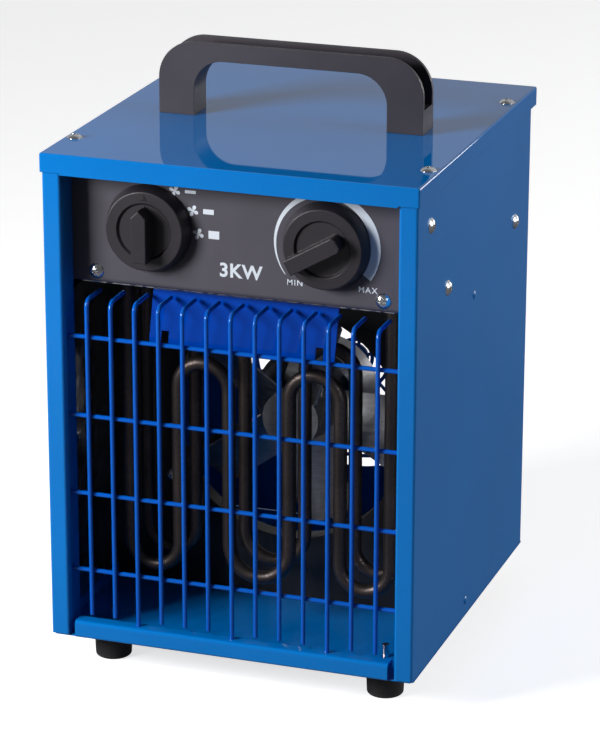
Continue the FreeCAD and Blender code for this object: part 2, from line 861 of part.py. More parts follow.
def front_grille():
    """Upright wires bent back under the panel, welded in front of four cross wires."""
    radius = number(dims["wire_diameter"]) / 2
    bend = number(dims["grille_bend_radius"])
    front_y = number(back(dims["grille_setback"]))
    rear_y = number(back(dims["grille_reach"]))
    top = number(above(grille_top))
    sill_top = number(above(dims["sill_height"]))
    pieces = []
    for count in range(-WIRES_EACH_SIDE, WIRES_EACH_SIDE + 1):
        x = count * number(dims["wire_pitch"])
        foot = sill_top + number(dims["short_wire_gap"])
        if count in LONG_WIRES:
            foot = sill_top - number(dims["long_wire_depth"])
        pieces.append(wire_along([FreeCAD.Vector(x, front_y, foot),
                                  FreeCAD.Vector(x, front_y, top),
                                  FreeCAD.Vector(x, rear_y, top)], radius, bend))
    cross_y = front_y + 2 * radius - number(dims["weld_sink"])
    reach = number(column_inner + dims["cross_wire_tail"])
    for count in range(CROSS_WIRES):
        z = number(above(dims["lowest_cross_wire"])) + count * number(dims["cross_wire_pitch"])
        pieces.append(Part.makeCylinder(radius, 2 * reach, FreeCAD.Vector(-reach, cross_y, z),
                                        FreeCAD.Vector(1, 0, 0)))
    feature = doc.addObject("Part::Feature", "grille_body")
    feature.Shape = pieces[0].multiFuse(pieces[1:])
    feature.Placement = FreeCAD.Placement()
    return finish(feature, "front_grille")


# ---------------------------------------------------------------- control panel and knobs

def control_panel():
    body = new_body("panel_body")
    thickness = dims["panel_steel"]
    reach = inner_half_width - gap * 2
    height = side_top - gap - above(panel_bottom)
    sketch = new_sketch(body, "panel_profile", "YZ_Plane")
    outline(sketch, [(0, 0), (dims["panel_fold_depth"], 0), (dims["panel_fold_depth"], thickness),
                     (thickness, thickness), (thickness, height), (0, height)])
    pad(body, "panel_sheet", sketch, reach * 2, middle=True)
    fold = number(dims["panel_steel"])
    round_edges(body, "panel_outer_fold", dims["panel_fold_radius"],
                lambda edge, middle: near(middle.y, 0) and near(middle.z, 0))
    round_edges(body, "panel_inner_fold", dims["panel_fold_radius"] - thickness,
                lambda edge, middle: near(middle.y, fold) and near(middle.z, fold))
    flanges = new_sketch(body, "panel_flanges", "XZ_Plane")
    flange_bottom = dims["panel_fold_depth"] / 2
    flange_top = height - steel * 2
    for side in (-1, 1):
        low, high = span(side, reach - thickness, reach)
        outline(flanges, [(low, flange_bottom), (high, flange_bottom),
                          (high, flange_top), (low, flange_top)])
    pad(body, "panel_flange_pad", flanges, dims["panel_flange"], reverse=True)
    bottom = above(panel_bottom)
    drills = new_sketch(body, "panel_holes", "XZ_Plane")
    for side in (-1, 1):
        ring(drills, side * half_knob_pitch, knob_level - bottom, dims["bush_radius"] + gap)
        ring(drills, side * panel_screw_x, panel_screw_z - bottom, screw_hole)
    pocket(body, "panel_cuts", drills, thickness * 3, middle=True)
    side_drills = new_sketch(body, "panel_side_holes", "YZ_Plane")
    y, z = side_screw_spots[0]
    ring(side_drills, y - panel_front, z - bottom, screw_hole)
    pocket(body, "panel_side_cuts", side_drills, dims["body_width"] * 1.2, middle=True)
    place(body, (0, panel_front, bottom))
    return finish(body, "control_panel")


def knob(name, pointer, rounded_tail):
    """Skirted knob, drawn with +Z towards the hand and its pointer along +Y."""
    body = new_body(name + "_body")
    skirt = dims["knob_skirt"]
    dish = skirt - dims["knob_dish_depth"]
    profile = new_sketch(body, name + "_profile", "XZ_Plane")
    dish_edge = dims["knob_dish_radius"]
    outline(profile, [(0, 0), (dims["knob_radius"], 0), (dims["knob_front_radius"], skirt),
                      (dish_edge, skirt), (dish_edge - dims["knob_dish_slope"], dish), (0, dish)])
    revolve(body, name + "_turned", profile)
    half = dims["pointer_width"] / 2
    front_z = dims["pointer_front"] - dims["knob_clearance"]
    bar = new_sketch(body, name + "_bar", "XY_Plane")
    outline(bar, pointer(half))
    pad(body, name + "_pointer", bar, front_z)
    if rounded_tail:
        tail = number(dims["knob_dish_radius"] - dims["pointer_tail_gap"])
        round_edges(body, name + "_tail", half * 0.6,
                    lambda edge, middle: near(middle.y, -tail) and middle.z > number(skirt)
                    and near(abs(middle.x), number(half)))
    top = number(front_z)
    round_edges(body, name + "_soft_edge", dims["pointer_edge_radius"],
                lambda edge, middle: near(middle.z, top))
    round_edges(body, name + "_rim", dims["knob_rim_radius"],
                lambda edge, middle: near(middle.z, number(skirt))
                and near(math.hypot(middle.x, middle.y), number(dims["knob_front_radius"])))
    hollow = new_sketch(body, name + "_hollow", "XY_Plane")
    ring(hollow, 0, 0, dims["nut_width"] * 0.75)
    pocket(body, name + "_underside", hollow, dish - dims["knob_wall"], reverse=True)
    bore = new_sketch(body, name + "_bore", "XY_Plane")
    ring(bore, 0, 0, dims["spindle_radius"] + 0.02)
    pocket(body, name + "_spindle_hole", bore, front_z - dims["knob_front_wall"],
           reverse=True)
    return body


def house_pointer(half):
    """Straight bar with a pointed end."""
    tip = dims["knob_dish_radius"] - 2.2
    heel = dims["knob_dish_radius"] - 0.4
    return [(-half, -heel), (half, -heel), (half, tip - half), (0, tip), (-half, tip - half)]


def flat_pointer(half):
    """Straight bar that reaches the rim at its pointer end."""
    tip = dims["knob_front_radius"] - 2.4
    heel = dims["knob_dish_radius"] - dims["pointer_tail_gap"]
    return [(-half, -heel), (half, -heel), (half, tip), (-half, tip)]


THERMOSTAT_REST = 120


def switch_knob():
    body = knob("switch_knob", house_pointer, False)
    place(body, (-half_knob_pitch, panel_front - dims["knob_clearance"], knob_level), FRONTWARD)
    return finish(body, "switch_knob")


def thermostat_knob():
    body = knob("thermostat_knob", flat_pointer, True)
    turn = FRONTWARD * FreeCAD.Rotation(FreeCAD.Vector(0, 0, 1), THERMOSTAT_REST)
    place(body, (half_knob_pitch, panel_front - dims["knob_clearance"], knob_level), turn)
    return finish(body, "thermostat_knob")


def control_behind(word, x, housing, housing_length):
    """Bush, nut and spindle shared by the switch and the thermostat."""
    spindle = dims["spindle_radius"]
    bore = spindle + dims["spindle_clearance"]
    housing_front = panel_back + gap
    nut_front = panel_front - dims["nut_height"]
    bush = cylinder(word + "_bush", (x, panel_front - dims["bush_front"] + 2, knob_level),
                    dims["bush_radius"], dims["bush_front"] + dims["panel_steel"] + gap + 2, "y")
    drill = cylinder(word + "_bush_bore", (x, panel_front - dims["bush_front"], knob_level),
                     bore, dims["bush_front"] + housing_length * 0.6, "y")
    shell = cut(word + "_housing", fuse(word + "_housing_blank", [housing, bush]), [drill])
    finish(shell, word + "_body")
    nut_blank = prism(word + "_nut_blank", (x, nut_front, knob_level), dims["nut_width"],
                      dims["nut_height"], "y")
    nut_bore = cylinder(word + "_nut_bore", (x, nut_front - 1, knob_level),
                        dims["bush_radius"] + 0.05, dims["nut_height"] + 2, "y")
    finish(cut(word + "_nut_body", nut_blank, [nut_bore]), word + "_nut")
    spindle_front = panel_front - dims["pointer_front"] + dims["spindle_drop"]
    spindle_back = housing_front + housing_length * 0.5
    spindle_rod = cylinder(word + "_rod", (x, spindle_front, knob_level), spindle,
                           spindle_back - spindle_front, "y")
    finish(spindle_rod, word + "_spindle")


def push_tab(name, x, y, z):
    """Blade terminal that leaves a housing backwards; y is the housing's rear face."""
    half_width_of_tab = dims["tab_width"] / 2
    half_sheet = dims["tab_thickness"] / 2
    return box(name, (x - half_width_of_tab, x + half_width_of_tab), (y - 1, y + dims["tab_reach"]),
               (z - half_sheet, z + half_sheet))


def rotary_switch():
    half = dims["switch_width"] / 2
    y0 = panel_back + gap
    x = -half_knob_pitch
    parts = [box("switch_case", (x - half, x + half), (y0, y0 + dims["switch_length"]),
                 (knob_level - half, knob_level + half))]
    tab_y = y0 + dims["switch_length"]
    for column in (-1, 1):
        for rank in (-1, 0, 1):
            tab_x = x + column * half * 0.6
            tab_z = knob_level + rank * half * 0.55
            tab_name = "switch_tab_%d_%d" % (column + 1, rank + 1)
            parts.append(push_tab(tab_name, tab_x, tab_y, tab_z))
    control_behind("rotary_switch", x, fuse("switch_case_tabs", parts), dims["switch_length"])


def thermostat():
    y0 = panel_back + gap
    x = half_knob_pitch
    case = cylinder("thermostat_case", (x, y0, knob_level), dims["thermostat_radius"],
                    dims["thermostat_length"], "y")
    parts = [case]
    for side in (-1, 1):
        parts.append(push_tab("thermostat_tab_%d" % (side + 1), x + side * 9,
                              y0 + dims["thermostat_length"], knob_level + 8))
    control_behind("thermostat", x, fuse("thermostat_case_tabs", parts),
                   dims["thermostat_length"])


def thermostat_bulb():
    """Copper capillary from the thermostat to a sensing bulb laid along the divider."""
    start = FreeCAD.Vector(number(half_knob_pitch), number(panel_back + gap + dims["thermostat_length"]),
                           number(knob_level) - 6)
    bulb_x = number(dims["bulb_offset"])
    bulb_y = number(back(dims["bulb_setback"]))
    bulb_z = number(divider_top + dims["bulb_lift"])
    points = [
        start,
        start + FreeCAD.Vector(0, 24, 0),
        FreeCAD.Vector(bulb_x, bulb_y - 40, bulb_z + 8),
        FreeCAD.Vector(bulb_x, bulb_y - 18, bulb_z),
        FreeCAD.Vector(bulb_x, bulb_y + 1, bulb_z)]
    capillary = wire_along(points, number(dims["capillary_radius"]), 7)
    bulb = Part.makeCylinder(number(dims["bulb_radius"]), number(dims["bulb_length"]),
                             FreeCAD.Vector(bulb_x, bulb_y, bulb_z), FreeCAD.Vector(0, 1, 0))
    feature = doc.addObject("Part::Feature", "bulb_body")
    feature.Shape = capillary.fuse(bulb)
    feature.Placement = FreeCAD.Placement()
    return finish(feature, "thermostat_bulb")


def bulb_clips():
    x = dims["bulb_offset"]
    z = divider_top + dims["bulb_lift"]
    bore = dims["bulb_radius"] + 0.05
    clip_width = dims["clip_width"]
    clips = []
    for count, inset in enumerate((16.0, 46.0), start=1):
        y0 = back(dims["bulb_setback"] + inset)
        foot = box("bulb_clip_foot_%d" % count, (x - 9, x + 4.5), (y0, y0 + clip_width),
                   (divider_top, divider_top + steel))
        stem = box("bulb_clip_stem_%d" % count, (x - steel, x + steel), (y0, y0 + clip_width),
                   (divider_top, z - 3.0))
        collar = cylinder("bulb_clip_collar_%d" % count, (x, y0, z), bore + 0.95, clip_width, "y")
        drill = cylinder("bulb_clip_bore_%d" % count, (x, y0 - 1, z), bore, clip_width + 2, "y")
        clips.append(cut("bulb_clip_%d" % count,
                         fuse("bulb_clip_blank_%d" % count, [foot, stem, collar]), [drill]))
    return finish(group("bulb_clips_body", clips), "bulb_clips")


# ---------------------------------------------------------------- handle and feet

def handle():
    """Moulded grip: U-shaped channel open along its top and outer ends."""
    body = new_body("handle_body")
    half = dims["handle_length"] / 2
    hole = half - dims["handle_leg"]
    height = dims["handle_height"]
    under = height - dims["grip_thickness"]
    sketch = new_sketch(body, "handle_outline", "XZ_Plane")
    outline(sketch, [(-half, 0), (-hole, 0), (-hole, under), (hole, under), (hole, 0), (half, 0),
                     (half, height), (-half, height)])
    pad(body, "handle_block", sketch, dims["handle_depth"], middle=True)
    web = dims["handle_web"]
    floor_x = hole + web
    floor_z = under + web
    groove = new_sketch(body, "handle_groove", "XZ_Plane")
    block = dims["handle_block"]
    outline(groove, [(-half - 2, block), (-floor_x, block), (-floor_x, floor_z), (floor_x, floor_z),
                     (floor_x, block), (half + 2, block), (half + 2, height + 2),
                     (-half - 2, height + 2)])
    pocket(body, "handle_channel", groove, dims["handle_depth"] - dims["handle_wall"] * 2,
           middle=True)
    places = (
        ("handle_web_rounds", dims["handle_inner_radius"] + web, floor_x, floor_z),
        ("handle_opening_rounds", dims["handle_inner_radius"], hole, under),
        ("handle_shoulders", dims["handle_outer_radius"], half, height))
    for name, radius, x, z in places:
        round_edges(body, name, radius,
                    lambda edge, middle, x=number(x), z=number(z):
                    near(abs(middle.x), x) and near(middle.z, z))
    drills = new_sketch(body, "handle_screw_holes", "XY_Plane")
    for side in (-1, 1):
        ring(drills, side * handle_screw_x, 0, dims["screw_shank_radius"] + 0.02)
    pocket(body, "handle_pilot_holes", drills, screw_length + 1, reverse=True)
    place(body, (0, handle_y, above(dims["body_height"])))
    return finish(body, "handle")


def foot(word, x, y):
    body = new_body(word + "_body")
    height = dims["foot_height"]
    toe = dims["foot_toe_radius"]
    profile = new_sketch(body, word + "_profile", "XZ_Plane")
    outline(profile, [(screw_hole, dims["foot_recess_depth"]),
                      (dims["foot_recess_radius"], dims["foot_recess_depth"]),
                      (dims["foot_recess_radius"], 0), (toe, 0), (dims["foot_radius"], height),
                      (screw_hole, height)])
    revolve(body, word + "_turned", profile)
    round_edges(body, word + "_toe", 1.6,
                lambda edge, middle: near(middle.z, 0)
                and near(math.hypot(middle.x, middle.y), number(toe)))
    place(body, (x, y, 0))
    return finish(body, word)


def feet():
    foot("front_left_foot", -foot_x, foot_front_y)
    foot("front_right_foot", foot_x, foot_front_y)
    foot("rear_left_foot", -foot_x, foot_rear_y)
    foot("rear_right_foot", foot_x, foot_rear_y)
    screws = []
    length = dims["foot_height"] - dims["foot_recess_depth"] + dims["foot_screw_reach"]
    for count, (side, y) in enumerate(((-1, foot_front_y), (1, foot_front_y),
                                       (-1, foot_rear_y), (1, foot_rear_y)), start=1):
        screws.append(pan_screw("foot_screw_%d" % count,
                                (side * foot_x, y, dims["foot_recess_depth"]), "-z", length))
    finish(group("foot_screws_body", screws), "foot_screws")


# ---------------------------------------------------------------- visible screws

def case_screws():
    cover_top = above(dims["body_height"])
    screws = [pan_screw("cover_screw_%d" % count, (x, y, cover_top), "z", screw_length)
              for count, (x, y) in enumerate(cover_screw_spots, start=1)]
    finish(group("cover_screws_body", screws), "cover_screws")
    for word, side, outward in (("left", -1, "-x"), ("right", 1, "x")):
        screws = [pan_screw("%s_side_screw_%d" % (word, count), (side * half_width, y, z), outward,
                            screw_length)
                  for count, (y, z) in enumerate(side_screw_spots, start=1)]
        finish(group(word + "_side_screws_body", screws), word + "_side_screws")
        rivets = [dome_rivet("%s_rivet_%d" % (word, count), (side * half_width, y, z), outward)
                  for count, (y, z) in enumerate(side_rivet_spots, start=1)]
        finish(group(word + "_rivets_body", rivets), word + "_side_rivets")
    screws = [pan_screw("panel_screw_%d" % (side + 2), (side * panel_screw_x, panel_front,
                                                        panel_screw_z), "-y", screw_length)
              for side in (-1, 1)]
    finish(group("panel_screws_body", screws), "panel_screws")
    screws = [pan_screw("handle_screw_%d" % (side + 2), (side * handle_screw_x, handle_y,
                                                         cover_underside), "-z", screw_length)
              for side in (-1, 1)]
    finish(group("handle_screws_body", screws), "handle_screws")
    screws = []
    for word, side in mirrored_sides():
        for count, level in enumerate(rear_screw_levels, start=1):
            screws.append(pan_screw("rear_screw_%s_%d" % (word, count),
                                    (side * rear_screw_x, rear_face, level), "y", screw_length))
    finish(group("rear_screws_body", screws), "rear_screws")
    screws = []
    wire = dims["guard_wire"] / 2
    for count, angle in enumerate(GUARD_EYES, start=1):
        x, z = guard_eye_spot(angle)
        screws.append(pan_screw("guard_screw_%d" % count, (x, rear_face + gap + wire * 1.3, z), "y",
                                screw_length))
    finish(group("guard_screws_body", screws), "guard_screws")


# ---------------------------------------------------------------- heating chamber

def divider():
    """Shelf between the hot chamber and the wiring space, with upturned sides."""
    reach = inner_half_width - gap
    y = (back(dims["divider_start"]), rear_panel_front - gap)
    parts = [box("divider_sheet", (-reach, reach), y, (divider_bottom, divider_top))]
    for word, side in mirrored_sides():
        parts.append(box("divider_flange_" + word, span(side, reach - steel, reach),
                         (back(dims["shelf_flange_start"]), y[1] - dims["shelf_flange_end_gap"]),
                         (divider_bottom, divider_bottom + dims["divider_flange"])))
    tools = holes("divider_tube_hole", [(x, y0, divider_bottom) for x, y0 in element_ends()],
                  dims["tube_diameter"] / 2 + gap, steel * 4, "z")
    for word, side in mirrored_sides():
        tools += holes("divider_screw_hole_" + word,
                       [(side * reach, y0, z0) for y0, z0 in side_screw_spots[1:]],
                       screw_hole, steel * 6, "x")
    return finish(cut("divider_body", fuse("divider_folded", parts), tools), "divider_shelf")


def element_ends():
    return [(side * dims["outer_leg"], back(setback))
            for setback in (dims["front_element_setback"], dims["rear_element_setback"])
            for side in (-1, 1)]


def air_deflector():
    """Leaning blue plate under the panel, hung from the shelf by its top flange."""
    body = new_body("deflector_body")
    bottom = above(divider_level - dims["deflector_height"])
    height = divider_bottom - bottom
    lean = dims["deflector_lean"]
    reach = lean + dims["deflector_flange"]
    sketch = new_sketch(body, "deflector_profile", "YZ_Plane")
    outline(sketch, [(0, 0), (steel, 0), (lean + steel, height - steel), (reach, height - steel),
                     (reach, height), (lean, height)])
    pad(body, "deflector_sheet", sketch, dims["deflector_half_width"] * 2, middle=True)
    slots = new_sketch(body, "deflector_slots", "XZ_Plane")
    slot_outer = dims["deflector_half_width"] - dims["deflector_slot_margin"]
    slot_top = dims["deflector_slot_height"]
    for side in (-1, 1):
        low, high = span(side, slot_outer - dims["deflector_slot_width"], slot_outer)
        outline(slots, [(low, -1), (high, -1), (high, slot_top), (low, slot_top)])
    pocket(body, "deflector_notches", slots, (lean + steel) * 2, middle=True)
    place(body, (0, back(dims["deflector_setback"]), bottom))
    return finish(body, "air_deflector")


def side_liners():
    """Heat shields beside the elements, each flanged out to its side panel."""
    for word, side in mirrored_sides():
        inner = column_inner + gap
        outer = inner_half_width - gap * 2
        y = (back(dims["column_depth"] + dims["liner_setback"]), shroud_front - gap)
        bottom = above(dims["liner_bottom"])
        flange_y = (y[0] + 4, y[1])
        parts = [
            box("liner_wall_" + word, span(side, inner, inner + steel), y, (bottom, divider_bottom)),
            box("liner_foot_" + word, span(side, inner, outer), flange_y, (bottom, bottom + steel)),
            box("liner_head_" + word, span(side, inner, outer),
                (back(dims["shelf_flange_start"]), y[1]), (divider_bottom - steel, divider_bottom))]
        finish(fuse(word + "_liner_body", parts), word + "_heat_shield")


def fan_shroud():
    body = new_body("shroud_body")
    bottom = above(steel + gap)
    height = divider_bottom - bottom
    reach = inner_half_width - gap
    narrow = reach - steel - gap
    shoulder = dims["upstand"]
    sketch = new_sketch(body, "shroud_outline", "XZ_Plane")
    outline(sketch, [(-narrow, 0), (narrow, 0), (narrow, shoulder), (reach, shoulder),
                     (reach, height), (-reach, height), (-reach, shoulder), (-narrow, shoulder)])
    pad(body, "shroud_sheet", sketch, steel, reverse=True)
    flanges = new_sketch(body, "shroud_flanges", "XZ_Plane")
    for side in (-1, 1):
        low, high = span(side, reach - steel, reach)
        outline(flanges, [(low, shoulder), (high, shoulder), (high, height), (low, height)])
    pad(body, "shroud_flange_pad", flanges, dims["shroud_flange"], reverse=True)
    collar = new_sketch(body, "shroud_collar_rings", "XZ_Plane")
    centre = fan_level - bottom
    ring(collar, 0, centre, dims["shroud_opening_radius"] + steel * 1.5)
    ring(collar, 0, centre, dims["shroud_opening_radius"])
    pad(body, "shroud_collar_pad", collar, dims["shroud_collar"], reverse=True)
    drills = new_sketch(body, "shroud_holes", "XZ_Plane")
    ring(drills, 0, centre, dims["shroud_opening_radius"])
    for x, z in bracket_spots():
        ring(drills, x, centre + z, screw_hole)
    pocket(body, "shroud_cuts", drills, steel * 4, middle=True)
    side_drills = new_sketch(body, "shroud_rivet_holes", "YZ_Plane")
    y, z = side_rivet_spots[0]
    ring(side_drills, y - shroud_front, z - bottom, rivet_hole)
    pocket(body, "shroud_rivet_cuts", side_drills, dims["body_width"] * 1.2, middle=True)
    place(body, (0, shroud_front, bottom))
    return finish(body, "fan_shroud")


def bracket_spots():
    """Places of the motor's three pillars about the fan axis, one straight above it."""
    circle = dims["bracket_circle"]
    spots = []
    for count in range(BRACKET_ARMS):
        angle = math.radians(90 + 360.0 * count / BRACKET_ARMS)
        spots.append((circle * round(math.cos(angle), 9), circle * round(math.sin(angle), 9)))
    return spots


def heating_element(word, setback, top):
    """Sheathed tube: three bends at the bottom, two at the top, both ends through the shelf."""
    y = number(back(setback))
    low = number(above(dims["element_bottom"]))
    high = number(above(top))
    end = number(above(element_end))
    legs = [number(dims[name]) for name in ("outer_leg", "middle_leg", "inner_leg")]
    stations = [-legs[0], -legs[1], -legs[2], legs[2], legs[1], legs[0]]
    edges = []
    level = end
    for count, (x, next_x) in enumerate(zip(stations, stations[1:])):
        radius = (next_x - x) / 2
        middle_x = x + radius
        downward = count % 2 == 0
        apex = low if downward else high
        turn = apex + radius if downward else apex - radius
        edges.append(Part.LineSegment(FreeCAD.Vector(x, y, level),
                                      FreeCAD.Vector(x, y, turn)).toShape())
        edges.append(Part.Arc(FreeCAD.Vector(x, y, turn), FreeCAD.Vector(middle_x, y, apex),
                              FreeCAD.Vector(next_x, y, turn)).toShape())
        level = turn
    edges.append(Part.LineSegment(FreeCAD.Vector(stations[-1], y, level),
                                  FreeCAD.Vector(stations[-1], y, end)).toShape())
    circle = Part.Circle(FreeCAD.Vector(stations[0], y, end), FreeCAD.Vector(0, 0, -1),
                         number(dims["tube_diameter"]) / 2)
    feature = doc.addObject("Part::Feature", word + "_element_body")
    feature.Shape = Part.Wire(edges).makePipeShell([Part.Wire(circle.toShape())], True, False)
    feature.Placement = FreeCAD.Placement()
    return finish(feature, word + "_heating_element")


def element_fittings():
    bushes = []
    tabs = []
    end = above(element_end)
    radius = dims["tube_diameter"] / 2
    tab_half = dims["tab_width"] / 2
    sheet_half = dims["tab_thickness"] / 2
    tab_foot = end + dims["element_pin_length"] - 0.5
    for count, (x, y) in enumerate(element_ends(), start=1):
        blank = cone("element_bush_blank_%d" % count, (x, y, divider_top),
                     radius + dims["bush_foot_wall"], radius + dims["bush_top_wall"],
                     dims["bush_height"])
        drill = cylinder("element_bush_bore_%d" % count, (x, y, divider_top - 1), radius + 0.05,
                         dims["bush_height"] + 2)
        bushes.append(cut("element_bush_%d" % count, blank, [drill]))
        pin = cylinder("element_pin_%d" % count, (x, y, end), dims["element_pin_radius"],
                       dims["element_pin_length"])
        tab = box("element_tab_%d" % count, (x - tab_half, x + tab_half),
                  (y - sheet_half, y + sheet_half), (tab_foot, tab_foot + dims["element_tab_length"]))
        tabs.append(fuse("element_terminal_%d" % count, [pin, tab]))
    finish(group("element_bushes_body", bushes), "ceramic_bushes")
    finish(group("element_terminals_body", tabs), "element_terminals")


# ---------------------------------------------------------------- fan and motor

BLADE_ARC = 42.0
BLADE_TILT = 33.0


def fan():
    centre_y = back(dims["fan_setback"])
    hub_y = centre_y - dims["fan_hub_length"] / 2
    hub = cylinder("fan_hub", (0, hub_y, fan_level), dims["fan_hub_radius"],
                   dims["fan_hub_length"], "y")
    root = dims["fan_hub_radius"] - 3
    length = dims["fan_radius"] - root
    curve = dims["blade_chord_radius"]
    blades = []
    outward = FreeCAD.Rotation(FreeCAD.Vector(0, 1, 0), 90)
    tilt = FreeCAD.Rotation(FreeCAD.Vector(1, 0, 0), 90 - BLADE_ARC / 2 - BLADE_TILT)
    middle = FreeCAD.Vector(math.cos(math.radians(BLADE_ARC / 2)),
                            math.sin(math.radians(BLADE_ARC / 2)), 0)
    for count in range(FAN_BLADES):
        about = FreeCAD.Rotation(FreeCAD.Vector(0, 1, 0), 360.0 * count / FAN_BLADES)
        turn = about.multiply(tilt).multiply(outward)
        normal = turn.multVec(middle)
        radial = turn.multVec(FreeCAD.Vector(0, 0, 1))
        spot = [base + root * along - curve * across
                for base, along, across in zip((0, centre_y, fan_level), radial, normal)]
        sector = cylinder("blade_sector_%d" % count, spot, curve, length)
        sector.Angle = BLADE_ARC
        inside = cylinder("blade_inside_%d" % count, spot, curve - dims["blade_thickness"], length)
        sector.Placement = FreeCAD.Placement(sector.Placement.Base, turn)
        inside.Placement = FreeCAD.Placement(inside.Placement.Base, turn)
        blades.append(cut("blade_%d" % count, sector, [inside]))
    swept = cylinder("fan_sweep", (0, centre_y - 20, fan_level), dims["fan_radius"] - 0.5, 40, "y")
    blank = common("fan_trimmed", [fuse("fan_blank", [hub] + blades), swept])
    shaft_hole = cylinder("fan_bore", (0, centre_y - 20, fan_level), dims["shaft_radius"] + 0.02,
                          40, "y")
    finish(cut("fan_body", blank, [shaft_hole]), "fan_impeller")
    shaft_front = hub_y - 3
    motor_end = back(dims["motor_setback"] + dims["motor_length"]) + dims["motor_cap"] * 2 + 4
    shaft = cylinder("shaft_rod", (0, shaft_front, fan_level), dims["shaft_radius"],
                     motor_end - shaft_front, "y")
    rotor_y = back(dims["motor_setback"]) + dims["motor_cap"] + 3
    rotor = cylinder("rotor_core", (0, rotor_y, fan_level), dims["rotor_radius"],
                     dims["motor_length"] - 6, "y")
    finish(fuse("rotor_body", [shaft, rotor]), "motor_rotor")


def motor():
    y0 = back(dims["motor_setback"])
    cap = dims["motor_cap"]
    radius = dims["motor_radius"]
    bearing = dims["shaft_radius"] + dims["shaft_clearance"]
    length = dims["motor_length"]
    stator = cut("stator_body",
                 cylinder("stator_blank", (0, y0 + cap, fan_level), radius, length, "y"),
                 [cylinder("stator_bore", (0, y0 + cap - 1, fan_level),
                           dims["rotor_radius"] + dims["rotor_air_gap"], length + 2, "y")])
    finish(stator, "motor_stator")
    rear_y = y0 + cap + length
    rear = fuse("rear_cap_blank", [
        cylinder("rear_cap_disc", (0, rear_y, fan_level), radius - 3, cap, "y"),
        cylinder("rear_cap_boss", (0, rear_y, fan_level), dims["bearing_boss_radius"],
                 cap + dims["bearing_boss_height"], "y")])
    finish(cut("rear_cap_body", rear, [
        cylinder("rear_cap_bore", (0, rear_y - 1, fan_level), bearing, cap + 6, "y")]),
        "motor_rear_cap")
    parts = [cylinder("front_cap_disc", (0, y0, fan_level), radius - 3, cap, "y")]
    arm_half = dims["bracket_arm_width"] / 2
    reach = dims["bracket_circle"] + arm_half
    drills = [cylinder("front_cap_bore", (0, y0 - 1, fan_level), bearing, cap + 2, "y")]
    pillars = []
    motor_screws = []
    shroud_screws = []
    for count, (x, z) in enumerate(bracket_spots()):
        arm = doc.addObject("Part::Box", "bracket_arm_%d" % count)
        bind(arm, "Length", reach)
        bind(arm, "Width", cap - 1)
        bind(arm, "Height", dims["bracket_arm_width"])
        angle = 90 + 360.0 * count / BRACKET_ARMS
        turn = FreeCAD.Rotation(FreeCAD.Vector(0, 1, 0), -angle)
        across = turn.multVec(FreeCAD.Vector(0, 0, 1))
        place(arm, (arm_half * -across.x, y0, fan_level + arm_half * -across.z), turn)
        parts.append(arm)
        spot_z = fan_level + z
        drills.append(cylinder("bracket_hole_%d" % count, (x, y0 - 1, spot_z), screw_hole,
                               cap + 2, "y"))
        pillar = cylinder("pillar_blank_%d" % count, (x, shroud_back, spot_z),
                          dims["standoff_radius"], y0 - shroud_back, "y")
        bore = cylinder("pillar_bore_%d" % count, (x, shroud_back - 1, spot_z),
                        dims["screw_shank_radius"] + 0.02, y0 - shroud_back + 2, "y")
        pillars.append(cut("pillar_%d" % count, pillar, [bore]))
        motor_screws.append(pan_screw("motor_screw_%d" % count, (x, y0 + cap - 1, spot_z), "y",
                                      screw_length))
        shroud_screws.append(pan_screw("shroud_screw_%d" % count, (x, shroud_front, spot_z), "-y",
                                       screw_length))
    finish(cut("front_cap_body", fuse("front_cap_blank", parts), drills), "motor_bracket")
    finish(group("pillars_body", pillars), "motor_pillars")
    finish(group("motor_screws_body", motor_screws), "motor_screws")
    finish(group("shroud_screws_body", shroud_screws), "shroud_screws")


# ---------------------------------------------------------------- wiring space

def thermal_cutout():
    """Round can on a foot plate, with a blade terminal on each side."""
    y = back(dims["cutout_setback"])
    foot_half = dims["cutout_foot_half"]
    foot_top = divider_top + 1
    can_height = dims["cutout_height"]
    tab_half = dims["tab_width"] / 2
    tab_inner = dims["cutout_tab_offset"]
    parts = [
        cylinder("cutout_can", (0, y, foot_top), dims["cutout_radius"], can_height),
        box("cutout_foot", (-foot_half, foot_half), (y - 5, y + 5), (divider_top, foot_top))]
    for word, side in mirrored_sides():
        parts.append(box("cutout_tab_" + word,
                         span(side, tab_inner, tab_inner + dims["tab_thickness"]),
                         (y - tab_half, y + tab_half),
                         (foot_top + can_height - 1, foot_top + can_height + dims["tab_reach"])))
    return finish(fuse("cutout_body", parts), "thermal_cutout")


